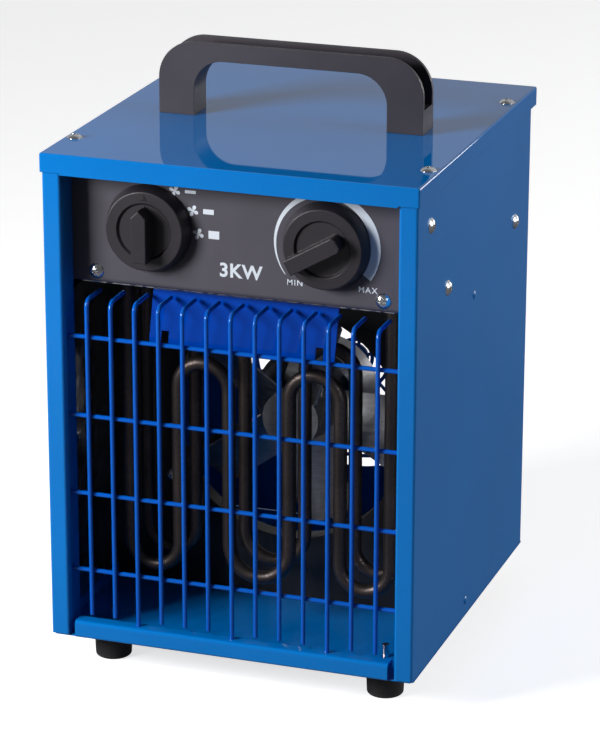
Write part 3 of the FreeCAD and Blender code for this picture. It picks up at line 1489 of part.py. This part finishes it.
def terminal_block():
    """Three-way block on the shelf, with a screw well and a wire way for each pole."""
    x = dims["gland_offset"] - dims["terminal_shift"]
    y = rear_panel_front - dims["terminal_setback"]
    half = dims["terminal_width"] / 2
    depth = dims["terminal_half_depth"]
    top = divider_top + dims["terminal_height"]
    well_foot = top - dims["terminal_well_depth"]
    screw_radius = dims["terminal_screw_radius"]
    screw_top = well_foot + dims["terminal_screw_height"]
    block = box("terminal_case", (x - half, x + half), (y - depth, y + depth), (divider_top, top))
    wells = []
    screws = []
    for count in (-1, 0, 1):
        well_x = x + count * dims["terminal_pitch"]
        wells.append(cylinder("terminal_well_%d" % (count + 2), (well_x, y, well_foot),
                              dims["terminal_well_radius"], dims["terminal_well_depth"] + 1))
        wells.append(cylinder("terminal_way_%d" % (count + 2), (well_x, y - depth - 1, divider_top + 5),
                              dims["terminal_way_radius"], depth * 2 + 2, "y"))
        blank = cylinder("terminal_screw_blank_%d" % (count + 2), (well_x, y, well_foot),
                         screw_radius, dims["terminal_screw_height"])
        slot = box("terminal_screw_slot_%d" % (count + 2), (well_x - 4, well_x + 4),
                   (y - 0.4, y + 0.4), (screw_top - 1.2, top))
        screws.append(cut("terminal_screw_%d" % (count + 2), blank, [slot]))
    finish(cut("terminal_block_body", block, wells), "terminal_block")
    finish(group("terminal_screws_body", screws), "terminal_screws")


def cable_gland():
    x = dims["gland_offset"]
    z = gland_level
    thread_y = rear_panel_front - dims["gland_thread_reach"]
    tip_y = rear_face + dims["gland_front"] - 1
    flange_height = dims["gland_flange_height"]
    flange_end = rear_panel_back + flange_height
    nut_height = dims["gland_nut_height"]
    parts = [
        cylinder("gland_thread", (x, thread_y, z), dims["gland_thread_radius"],
                 flange_end - thread_y, "y"),
        cylinder("gland_flange", (x, rear_panel_back, z), dims["gland_flange_radius"],
                 flange_height, "y"),
        cone("gland_dome", (x, flange_end, z), dims["gland_flange_radius"] - 1,
             dims["gland_thread_radius"], tip_y - flange_end, "y")]
    bore = cylinder("gland_bore", (x, thread_y - 1, z), dims["gland_bore_radius"],
                    tip_y - thread_y + 2, "y")
    finish(cut("gland_body", fuse("gland_blank", parts), [bore]), "cable_gland")
    nut_y = rear_panel_front - nut_height
    nut = cut("gland_nut_body",
              prism("gland_nut_blank", (x, nut_y, z), dims["gland_nut_width"], nut_height, "y"),
              [cylinder("gland_nut_bore", (x, nut_y - 1, z), dims["gland_thread_radius"] + 0.05,
                        nut_height + 2, "y")])
    finish(nut, "gland_nut")


base_pan()
for panel_word, panel_side in mirrored_sides():
    side_panel(panel_word, panel_side)
top_cover()
rear_panel()
rear_guard()
front_grille()
control_panel()
switch_knob()
thermostat_knob()
rotary_switch()
thermostat()
thermostat_bulb()
bulb_clips()
handle()
feet()
case_screws()
divider()
air_deflector()
side_liners()
fan_shroud()
heating_element("front", dims["front_element_setback"], divider_level - dims["front_element_drop"])
heating_element("rear", dims["rear_element_setback"], divider_level - dims["rear_element_drop"])
element_fittings()
fan()
motor()
thermal_cutout()
terminal_block()
cable_gland()
doc.recompute()

for item in doc.Objects:
    faults = [word for word in item.State if word in ("Invalid", "Error")]
    if faults:
        raise RuntimeError("%s is %s" % (item.Name, faults))
for item in nodes:
    if item.Shape.isNull() or not item.Shape.isValid():
        raise RuntimeError(item.Label + " has no valid shape")
os.makedirs("parts", exist_ok=True)
for item in nodes:
    item.Shape.exportStep("parts/%s.step" % item.Label)
print("%d nodes" % len(nodes))
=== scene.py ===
"""Looks of a blue sheet-steel fan heater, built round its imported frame."""
import json
import math

import bmesh
import bpy
from mathutils import Matrix, Vector


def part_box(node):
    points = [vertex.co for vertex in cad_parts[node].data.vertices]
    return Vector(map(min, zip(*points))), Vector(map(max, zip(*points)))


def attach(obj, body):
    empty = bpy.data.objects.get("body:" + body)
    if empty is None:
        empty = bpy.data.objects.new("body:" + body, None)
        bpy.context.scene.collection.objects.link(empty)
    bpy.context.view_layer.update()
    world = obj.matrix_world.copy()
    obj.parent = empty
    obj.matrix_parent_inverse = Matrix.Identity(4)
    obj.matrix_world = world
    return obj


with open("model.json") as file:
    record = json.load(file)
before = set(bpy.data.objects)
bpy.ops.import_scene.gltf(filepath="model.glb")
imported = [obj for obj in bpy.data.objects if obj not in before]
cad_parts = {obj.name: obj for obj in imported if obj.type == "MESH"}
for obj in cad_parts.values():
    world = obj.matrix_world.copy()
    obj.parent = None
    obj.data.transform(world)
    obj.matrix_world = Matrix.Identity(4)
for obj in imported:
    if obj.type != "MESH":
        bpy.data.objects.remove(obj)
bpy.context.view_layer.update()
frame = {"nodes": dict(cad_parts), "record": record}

nodes = frame["nodes"]
MM = 0.001


# ---------------------------------------------------------------- shader building

class Signal:
    """Output of a shader node that can take part in sums."""

    def __init__(self, wiring, socket):
        self.wiring = wiring
        self.socket = socket

    def maths(self, operation, left, right):
        return self.wiring.node("ShaderNodeMath", {"operation": operation}, {0: left, 1: right})

    def __add__(self, other):
        return self.maths("ADD", self, other)

    def __sub__(self, other):
        return self.maths("SUBTRACT", self, other)

    def __rsub__(self, other):
        return self.maths("SUBTRACT", other, self)

    def __mul__(self, other):
        return self.maths("MULTIPLY", self, other)

    __radd__ = __add__
    __rmul__ = __mul__


class Wiring:
    """A node tree and the ways to add to it."""

    def __init__(self, owner):
        owner.use_nodes = True
        self.tree = owner.node_tree

    def node(self, kind, settings, inputs, output=0):
        """Add a node, give it its settings, then the values or signals of its inputs."""
        made = self.tree.nodes.new(kind)
        for key, value in settings.items():
            setattr(made, key, value)
        for key, value in inputs.items():
            if isinstance(value, Signal):
                self.tree.links.new(value.socket, made.inputs[key])
            else:
                made.inputs[key].default_value = value
        return Signal(self, made.outputs[output])

    def ray(self, kind):
        """1 on rays of one kind and 0 on all others."""
        return self.node("ShaderNodeLightPath", {}, {}, kind)

    def band(self, signal, low, high, start=0.0, end=1.0):
        """Smooth change from start to end while the signal goes from low to high."""
        return self.node("ShaderNodeMapRange", {"interpolation_type": "SMOOTHSTEP"},
                         {"Value": signal, "From Min": low, "From Max": high,
                          "To Min": start, "To Max": end})

    def blend(self, share, first, second):
        """Colour between first and second."""
        return self.node("ShaderNodeMix", {"data_type": "RGBA"},
                         {0: share, 6: colour4(first), 7: colour4(second)}, 2)


class Finish(Wiring):
    """One procedural material: a principled shader and the nodes that feed it."""

    def __init__(self, name, **constants):
        self.material = bpy.data.materials.new(name)
        super().__init__(self.material)
        self.shader = self.tree.nodes["Principled BSDF"]
        for socket, value in constants.items():
            self.shader.inputs[socket.replace("_", " ")].default_value = value
        self.place = self.node("ShaderNodeTexCoord", {}, {}, "Object")

    def feed(self, **signals):
        """Link signals to the shader's own sockets, named with underscores."""
        for socket, signal in signals.items():
            self.tree.links.new(signal.socket, self.shader.inputs[socket.replace("_", " ")])

    def noise(self, scale, detail=3.0, roughness=0.5, stretch=None):
        spot = self.place
        if stretch:
            spot = self.node("ShaderNodeMapping", {}, {"Vector": spot, "Scale": stretch})
        return self.node("ShaderNodeTexNoise", {},
                         {"Vector": spot, "Scale": scale, "Detail": detail,
                          "Roughness": roughness}, "Fac")

    def along(self, axis):
        return self.node("ShaderNodeSeparateXYZ", {}, {"Vector": self.place}, axis)

    def bump(self, height, distance, strength=1.0, edge=0.0):
        """Bumps of a height signal, on edges that look rounded to the edge radius."""
        inputs = {"Height": height, "Distance": distance, "Strength": strength}
        if edge:
            inputs["Normal"] = self.node("ShaderNodeBevel", {"samples": 6}, {"Radius": edge})
        return self.node("ShaderNodeBump", {}, inputs)


def colour4(value):
    return value if isinstance(value, Signal) else (*value, 1.0)


# ---------------------------------------------------------------- finishes

def powder_coat(name, green=1.0, depth=1.0):
    """Gloss blue powder coat with a fine orange peel; smaller green and depth shares give a darker,
    less green copy of the same paint, which is painted shade.
    """
    finish = Finish(name, Coat_Weight=1.0, Coat_Roughness=0.03, Coat_IOR=1.5,
                    Specular_IOR_Level=0.0)
    cloud = finish.noise(9.0, 2.0)
    speck = finish.noise(900.0, 2.0)
    dark, mid, pale = ((0.0, 0.31 * green * share, share)
                       for share in (0.58 * depth, 0.62 * depth, 0.66 * depth))
    mottle = finish.blend(finish.band(cloud, 0.35, 0.65), mid, pale)
    finish.feed(
        Base_Color=finish.blend(finish.band(speck, 0.3, 0.7, 0.0, 0.35), mottle, dark),
        Roughness=finish.band(cloud, 0.3, 0.7, 0.4, 0.48),
        Normal=finish.bump(finish.noise(380.0, 2.0), 0.000025, 0.6, 0.0005))
    return finish.material


def panel_paint():
    """Satin dark grey paint of the control panel."""
    finish = Finish("panel_satin_grey", IOR=1.4)
    cloud = finish.noise(14.0, 3.0)
    finish.feed(
        Base_Color=finish.blend(finish.band(cloud, 0.3, 0.7), (0.072, 0.067, 0.084),
                                (0.086, 0.08, 0.1)),
        Roughness=finish.band(finish.noise(60.0), 0.3, 0.7, 0.48, 0.58),
        Normal=finish.bump(finish.noise(1100.0, 2.0), 0.00002, 0.5, 0.0004))
    return finish.material


def moulded_plastic(name, dark, light, grain=1500.0, rough=(0.42, 0.55)):
    """Plastic or dark paint with an even grain; a higher grain number is finer."""
    finish = Finish(name, IOR=1.46)
    cloud = finish.noise(22.0, 3.0)
    skin = finish.noise(grain, 2.0)
    finish.feed(
        Base_Color=finish.blend(finish.band(cloud, 0.3, 0.7), dark, light),
        Roughness=finish.band(skin, 0.3, 0.7, *rough),
        Normal=finish.bump(skin + cloud * 0.4, 0.00003, 0.5, 0.0005))
    return finish.material


def rubber():
    """Matt black rubber of the feet, dusty near the floor."""
    finish = Finish("foot_rubber", IOR=1.5)
    skin = finish.noise(700.0, 4.0)
    dust = finish.band(finish.along("Z"), 0.0, 4 * MM, 0.5, 0.0)
    finish.feed(
        Base_Color=finish.blend(dust * finish.band(skin, 0.4, 0.6), (0.017, 0.016, 0.018),
                                (0.06, 0.058, 0.055)),
        Roughness=finish.band(skin, 0.3, 0.7, 0.55, 0.75),
        Normal=finish.bump(skin, 0.00006, 0.6, 0.0005))
    return finish.material


def bright_metal(name, tint, rough=(0.12, 0.3), scale=260.0, stretch=None):
    """Bare or plated metal with streaks a little darker than its tint."""
    finish = Finish(name, Metallic=1.0)
    streak = finish.noise(scale, 4.0, 0.6, stretch)
    shade = tuple(part * 0.72 for part in tint)
    finish.feed(
        Base_Color=finish.blend(finish.band(streak, 0.3, 0.75), shade, tint),
        Roughness=finish.band(streak, 0.3, 0.7, *rough),
        Normal=finish.bump(streak, 0.00002, 0.4, 0.0002))
    return finish.material


def galvanised_sheet():
    """Bright coated sheet with faint spangle and the waviness of thin metal."""
    finish = Finish("bright_sheet", Metallic=1.0)
    spangle = finish.node("ShaderNodeTexVoronoi", {"feature": "F1"},
                          {"Vector": finish.place, "Scale": 160.0}, "Color")
    patch = finish.node("ShaderNodeSeparateColor", {}, {"Color": spangle}, 0)
    sag = finish.noise(28.0, 1.0, 0.4, (1.0, 1.0, 0.45))
    finish.feed(
        Base_Color=finish.blend(patch, (0.56, 0.57, 0.6), (0.74, 0.75, 0.78)),
        Roughness=finish.band(patch, 0.0, 1.0, 0.1, 0.24),
        Normal=finish.bump(sag + patch * 0.01, 0.0012, 0.6))
    return finish.material


def oxidised_tube():
    """Element sheath browned by heat, with grey patches."""
    finish = Finish("oxidised_sheath", Metallic=0.85)
    heat = finish.noise(30.0, 4.0, 0.6, (1.0, 1.0, 0.4))
    grit = finish.noise(800.0, 4.0, 0.6)
    warm = finish.blend(finish.band(heat, 0.35, 0.68), (0.05, 0.042, 0.042), (0.115, 0.09, 0.08))
    finish.feed(
        Base_Color=finish.blend(finish.band(grit, 0.45, 0.75), warm, (0.05, 0.045, 0.045)),
        Roughness=finish.band(grit, 0.3, 0.7, 0.34, 0.52),
        Normal=finish.bump(grit, 0.00006, 0.6))
    return finish.material


def glazed_ceramic():
    """Cream glazed ceramic of the bushes."""
    finish = Finish("glazed_ceramic", Coat_Weight=0.6, Coat_Roughness=0.08)
    cloud = finish.noise(120.0, 3.0)
    finish.feed(
        Base_Color=finish.blend(finish.band(cloud, 0.3, 0.7), (0.72, 0.69, 0.62),
                                (0.84, 0.82, 0.77)),
        Roughness=finish.band(cloud, 0.3, 0.7, 0.25, 0.4),
        Normal=finish.bump(cloud, 0.00004, 0.5, 0.0003))
    return finish.material


def print_ink():
    """Pale ink of the panel's printed marks."""
    finish = Finish("print_ink", IOR=1.45)
    grain = finish.noise(2400.0, 2.0)
    finish.feed(
        Base_Color=finish.blend(finish.band(grain, 0.35, 0.65), (0.70, 0.76, 0.84),
                                (0.78, 0.84, 0.92)),
        Roughness=finish.band(grain, 0.3, 0.7, 0.4, 0.55),
        Normal=finish.bump(grain, 0.00001, 0.3))
    return finish.material


# One blue paint in three copies. The case's copy is greener: partly the paint's own colour, partly
# painted reflection of the cyan light on its broad faces.
blue = powder_coat("blue_powder_coat")
# The grille's and rear guard's copy is darker and less green: painted shade.
wire_blue_painted_shade = powder_coat("wire_blue_painted_shade", 0.62, 0.9)
# The deflector's copy is much darker and less green: painted shade of the panel above it.
shaded_blue = powder_coat("deflector_blue_painted_shade", 0.42, 0.7)
grey = panel_paint()
knob_black = moulded_plastic("knob_black", (0.022, 0.019, 0.024), (0.029, 0.026, 0.032),
                             rough=(0.34, 0.48))
handle_black = moulded_plastic("handle_black", (0.029, 0.025, 0.034), (0.039, 0.034, 0.045), 1100.0)
# Near-black plastic of the knob's triangle: painted shade.
mark_black_painted_shade = moulded_plastic("mark_black_painted_shade", (0.006, 0.005, 0.007), (0.009, 0.008, 0.01), 900.0)
feet_rubber = rubber()
zinc = bright_metal("bright_zinc", (0.82, 0.84, 0.86), (0.1, 0.26))
bright_sheet = galvanised_sheet()
sheath = oxidised_tube()
# The fan's aluminium is given a grey far darker than bare aluminium: painted shade for the dark
# inside of the case.
fan_metal_painted_shade = bright_metal("fan_aluminium_painted_shade", (0.42, 0.42, 0.44), (0.35, 0.55), 90.0, (1.0, 1.0, 6.0))
dark_steel = moulded_plastic("dark_steel", (0.01, 0.01, 0.012), (0.016, 0.015, 0.017), 900.0,
                             (0.3, 0.45))
motor_metal = bright_metal("motor_steel", (0.42, 0.42, 0.44), (0.3, 0.45))
brass = bright_metal("brass", (0.72, 0.56, 0.28), (0.2, 0.35))
copper = bright_metal("copper", (0.72, 0.4, 0.26), (0.2, 0.4))
ceramic = glazed_ceramic()
nylon = moulded_plastic("natural_nylon", (0.6, 0.58, 0.52), (0.7, 0.68, 0.62), 600.0, (0.35, 0.5))
ink = print_ink()

SLOT_FINISHES = {
    "blue_steel": blue, "panel_grey": grey, "black_plastic": knob_black,
    "black_rubber": feet_rubber, "dark_steel": dark_steel, "zinc": zinc,
    "heat_tube": sheath, "galvanised": bright_sheet, "aluminium": fan_metal_painted_shade,
    "motor_steel": motor_metal, "ceramic": ceramic, "nylon": nylon,
    "brass": brass, "copper": copper}

# The grille, rear guard and deflector copies of the blue carry painted shade; the handle's plastic
# is its own colour.
SPECIAL_FINISHES = {"handle": handle_black, "air_deflector": shaded_blue,
                    "front_grille": wire_blue_painted_shade, "rear_guard": wire_blue_painted_shade}

for part in frame["record"]["subparts"]:
    piece = nodes[part["node"]]
    chosen = SPECIAL_FINISHES.get(part["node"], SLOT_FINISHES[part["material_slot"]])
    piece.data.materials.clear()
    piece.data.materials.append(chosen)


# ---------------------------------------------------------------- printed and raised marks

SPINDLE_RADIUS = 3 * MM
INK = 0.06 * MM
INK_OVERLAP = 0.2                   # share of the ink by which a second layer stands out

CRESCENT_STEPS = 64
CRESCENT_START = -128               # degrees clockwise from the top
CRESCENT_SWEEP = 253
CRESCENT_RADIUS = 31.0 * MM
CRESCENT_LINE = 0.4 * MM            # width at the cool end
CRESCENT_SWELL = 6.4 * MM           # what the width gains up to the hot end

FAN_RADIUS = 3.4 * MM
FAN_BLADES = 4
BLADE_STEPS = 11
BAR_WIDTH = 6.4 * MM
BAR_RIGHT = 9.3 * MM                # from the middle of the fan to the middle of its bar
BAR_UP = 0.2 * MM

# heat step, place of its fan from the switch's centre, thickness of its bar, in millimetres
HEAT_STEPS = (("low", 15.5, 22.9, 1.8), ("medium", 26.2, 12.4, 2.9), ("high", 29.3, -0.7, 4.6))

CAPITAL_SHARE = 0.72                # height of a capital or figure, of the font's size
DIAL_WORD = 3.4 * MM
OFF_FIGURE = 5.0 * MM
RATING = 8.0 * MM

TRIANGLE_TIP = 21.6 * MM            # radii about the switch's axis
TRIANGLE_FOOT = 18.2 * MM
TRIANGLE_HALF = 6.5                 # degrees
TRIANGLE_PROUD = 0.15 * MM
RIM_DEPTH = 9.0 * MM                # from the front of the switch knob back to its rim


def spindle_centre(node):
    """Where a knob's spindle crosses the panel, as x and z."""
    low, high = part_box(node)
    return (low.x + high.x) / 2, low.z + SPINDLE_RADIUS


def beside(centre, right, up):
    return centre[0] + right, centre[1] + up


def circle_point(centre, radius, clockwise_degrees):
    angle = math.radians(clockwise_degrees)
    return centre[0] + radius * math.sin(angle), centre[1] + radius * math.cos(angle)


switch_centre = spindle_centre("rotary_switch_spindle")
dial_centre = spindle_centre("thermostat_spindle")
ink_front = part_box("control_panel")[0].y - INK
rim_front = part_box("switch_knob")[0].y + RIM_DEPTH


def settle(name, data, material, body):
    """Give a new mesh its material and its body."""
    data.materials.clear()
    data.materials.append(material)
    piece = bpy.data.objects.new(name, data)
    bpy.context.scene.collection.objects.link(piece)
    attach(piece, body)


def mesh_piece(name, build, material, body):
    form = bmesh.new()
    build(form)
    data = bpy.data.meshes.new(name)
    bmesh.ops.recalc_face_normals(form, faces=form.faces)
    form.to_mesh(data)
    form.free()
    settle(name, data, material, body)


def plate(form, outline, front, thickness):
    """Flat plate facing -Y from an outline of x, z points."""
    lower = [form.verts.new((x, front + thickness, z)) for x, z in outline]
    upper = [form.verts.new((x, front, z)) for x, z in outline]
    form.faces.new(lower)
    form.faces.new(upper)
    count = len(outline)
    for corner in range(count):
        follow = (corner + 1) % count
        form.faces.new((lower[corner], lower[follow], upper[follow], upper[corner]))


def heat_crescent(form):
    """Crescent round the thermostat knob that widens from MIN to MAX."""
    outer = []
    inner = []
    for step in range(CRESCENT_STEPS + 1):
        share = step / CRESCENT_STEPS
        angle = CRESCENT_START + CRESCENT_SWEEP * share
        width = CRESCENT_LINE + CRESCENT_SWELL * share
        outer.append(circle_point(dial_centre, CRESCENT_RADIUS, angle))
        inner.append(circle_point(dial_centre, CRESCENT_RADIUS - width, angle))
    plate(form, outer + inner[::-1], ink_front, INK)


def fan_mark(form, centre):
    """Four swept blades and a hub."""
    for blade in range(FAN_BLADES):
        turn = 360 / FAN_BLADES * blade + 20
        outline = []
        for step in range(BLADE_STEPS + 1):
            share = step / BLADE_STEPS
            reach = math.sin(math.pi * share) ** 0.6
            swing = turn - 36 + 78 * share
            outline.append(circle_point(centre, FAN_RADIUS * (0.22 + 0.78 * reach), swing))
        outline.append(circle_point(centre, FAN_RADIUS * 0.1, turn + 40))
        plate(form, outline, ink_front, INK)
    hub = [circle_point(centre, FAN_RADIUS * 0.24, 36 * step) for step in range(10)]
    plate(form, hub, ink_front - INK * INK_OVERLAP, INK)


def heat_bar(form, centre, height):
    corners = [beside(centre, BAR_WIDTH / 2 * right, height / 2 * up)
               for right, up in ((-1, -1), (1, -1), (1, 1), (-1, 1))]
    plate(form, corners, ink_front, INK)


def pointer_triangle(form):
    """Raised triangle on the switch knob's rim, above the pointer, in plastic far darker than the
    knob's: painted shade of a recessed mark.
    """
    outline = [circle_point(switch_centre, TRIANGLE_TIP, 0),
               circle_point(switch_centre, TRIANGLE_FOOT, TRIANGLE_HALF),
               circle_point(switch_centre, TRIANGLE_FOOT, -TRIANGLE_HALF)]
    plate(form, outline, rim_front - TRIANGLE_PROUD, 2 * TRIANGLE_PROUD)


def lettering(name, words, centre, height, weight, spread=1.0):
    """Printed words centred on a point; weight thickens the strokes, in metres."""
    curve = bpy.data.curves.new(name, "FONT")
    curve.body = words
    curve.align_x = "CENTER"
    curve.align_y = "CENTER"
    curve.size = height / CAPITAL_SHARE
    curve.space_character = spread
    curve.offset = weight
    curve.extrude = INK / 2
    curve.resolution_u = 6
    pattern = bpy.data.objects.new(name + "_pattern", curve)
    bpy.context.scene.collection.objects.link(pattern)
    bpy.context.view_layer.update()
    data = bpy.data.meshes.new_from_object(pattern.evaluated_get(
        bpy.context.evaluated_depsgraph_get()))
    bpy.data.objects.remove(pattern)
    data.transform(Matrix.Translation((centre[0], ink_front + INK / 2, centre[1]))
                   @ Matrix.Rotation(math.radians(90), 4, "X"))
    settle(name, data, ink, "case")


mesh_piece("heat_crescent", heat_crescent, ink, "case")
for word, right, up, height in HEAT_STEPS:
    spot = beside(switch_centre, right * MM, up * MM)
    bar_spot = beside(spot, BAR_RIGHT, BAR_UP)
    mesh_piece("fan_mark_" + word, lambda form: fan_mark(form, spot), ink, "case")
    mesh_piece("heat_bar_" + word, lambda form: heat_bar(form, bar_spot, height * MM), ink,
               "case")

lettering("mark_off", "0", beside(switch_centre, 0, 28.0 * MM), OFF_FIGURE, 0.12 * MM)
lettering("mark_min", "MIN", beside(dial_centre, -18.7 * MM, -23.4 * MM), DIAL_WORD, 0.04 * MM, 1.2)
lettering("mark_max", "MAX", beside(dial_centre, 23.8 * MM, -23.3 * MM), DIAL_WORD, 0.04 * MM, 1.2)
lettering("mark_power", "3KW", (1.8 * MM, dial_centre[1] - 20.5 * MM), RATING, 0.3 * MM, 1.08)
mesh_piece("switch_triangle", pointer_triangle, mark_black_painted_shade, "switch")


# ---------------------------------------------------------------- stage, light and camera

FLOOR_HALF = 6.0
FLOOR_GLOW = 0.7
FLOOR_MIRRORED = 0.07               # share of the floor's brightness that gloss picks up
AIR_WHITE = 0.97
AIR_DIM, AIR_BRIGHT = 0.12, 0.5     # in front of the heater and behind it
AIR_HELD_BACK = 0.75                # share kept off matt surfaces

AIM_HEIGHT = 0.17
AZIMUTH, ELEVATION, ROLL = 18.975, 18.967, 0.123
DISTANCE = 1.99668
RIGHT_MOVE, UP_MOVE = 0.00196, -0.01243
LENS = 162.8966                     # millimetres, on a sensor 36 mm wide


def stage_plane():
    """Pale floor that the camera sees nearly white and that lights the heater only a little."""
    form = bmesh.new()
    bmesh.ops.create_grid(form, x_segments=1, y_segments=1, size=FLOOR_HALF)
    data = bpy.data.meshes.new("floor")
    form.to_mesh(data)
    form.free()
    finish = Finish("pale_floor", Roughness=1.0, Emission_Strength=FLOOR_GLOW)
    seen = finish.ray("Is Camera Ray") + finish.ray("Is Glossy Ray") * FLOOR_MIRRORED
    grain = finish.band(finish.noise(40.0), 0.3, 0.7, 0.96, 1.0)
    finish.feed(
        Base_Color=finish.blend(seen * grain, (0.1, 0.1, 0.11), (0.8, 0.8, 0.81)),
        Emission_Color=finish.blend(seen, (0.0, 0.0, 0.0), (1.0, 1.0, 1.0)))
    data.materials.append(finish.material)
    floor = bpy.data.objects.new("floor", data)
    bpy.context.scene.collection.objects.link(floor)


def soft_light(name, spot, aim, width, height, power):
    data = bpy.data.lights.new(name, "AREA")
    data.shape = "RECTANGLE"
    data.size = width
    data.size_y = height
    data.energy = power
    light = bpy.data.objects.new(name, data)
    light.location = spot
    light.rotation_euler = (Vector(aim) - Vector(spot)).to_track_quat("-Z", "Y").to_euler()
    bpy.context.scene.collection.objects.link(light)


def studio_air():
    """Nearly white to the camera; its light and reflections are brighter behind than in front."""
    world = bpy.data.worlds.new("studio_air")
    bpy.context.scene.world = world
    air = Wiring(world)
    way = air.node("ShaderNodeTexCoord", {}, {}, "Generated")
    depth = air.node("ShaderNodeSeparateXYZ", {}, {"Vector": way}, 1)
    held_back = air.ray("Is Diffuse Ray") * AIR_HELD_BACK
    lit = air.band(depth, -0.2, 0.6, AIR_DIM, AIR_BRIGHT) * (1.0 - held_back)
    strength = lit + air.ray("Is Camera Ray") * (AIR_WHITE - lit)
    background = air.tree.nodes["Background"]
    background.inputs["Color"].default_value = (0.97, 0.98, 1.0, 1.0)
    air.tree.links.new(strength.socket, background.inputs["Strength"])


def set_camera():
    """Long lens from the front right and a little above."""
    azimuth, elevation, roll = (math.radians(turn) for turn in (AZIMUTH, ELEVATION, ROLL))
    back = Vector((math.sin(azimuth) * math.cos(elevation),
                   -math.cos(azimuth) * math.cos(elevation), math.sin(elevation)))
    level = Vector((math.cos(azimuth), math.sin(azimuth), 0))
    rise = back.cross(level)
    right = level * math.cos(roll) + rise * math.sin(roll)
    up = rise * math.cos(roll) - level * math.sin(roll)
    data = bpy.data.cameras.new("camera")
    data.lens = LENS
    data.clip_start = 0.05
    camera = bpy.data.objects.new("camera", data)
    spot = Vector((0, 0, AIM_HEIGHT)) + back * DISTANCE + right * RIGHT_MOVE + up * UP_MOVE
    camera.matrix_world = Matrix.Translation(spot) @ Matrix((right, up, back)).transposed().to_4x4()
    bpy.context.scene.collection.objects.link(camera)
    bpy.context.scene.camera = camera


bpy.context.scene.view_settings.view_transform = "Standard"
stage_plane()
studio_air()
soft_light("key", (-0.74, -0.82, 0.6), (0, -0.1, 0.28), 0.42, 0.42, 16.5)
soft_light("right_fill", (1.7, 0.1, 0.85), (0, 0, 0.25), 1.0, 1.2, 11.0)
soft_light("back_fill", (1.2, 1.7, 0.4), (0, 0.1, 0.15), 0.8, 0.6, 9.0)
set_camera()
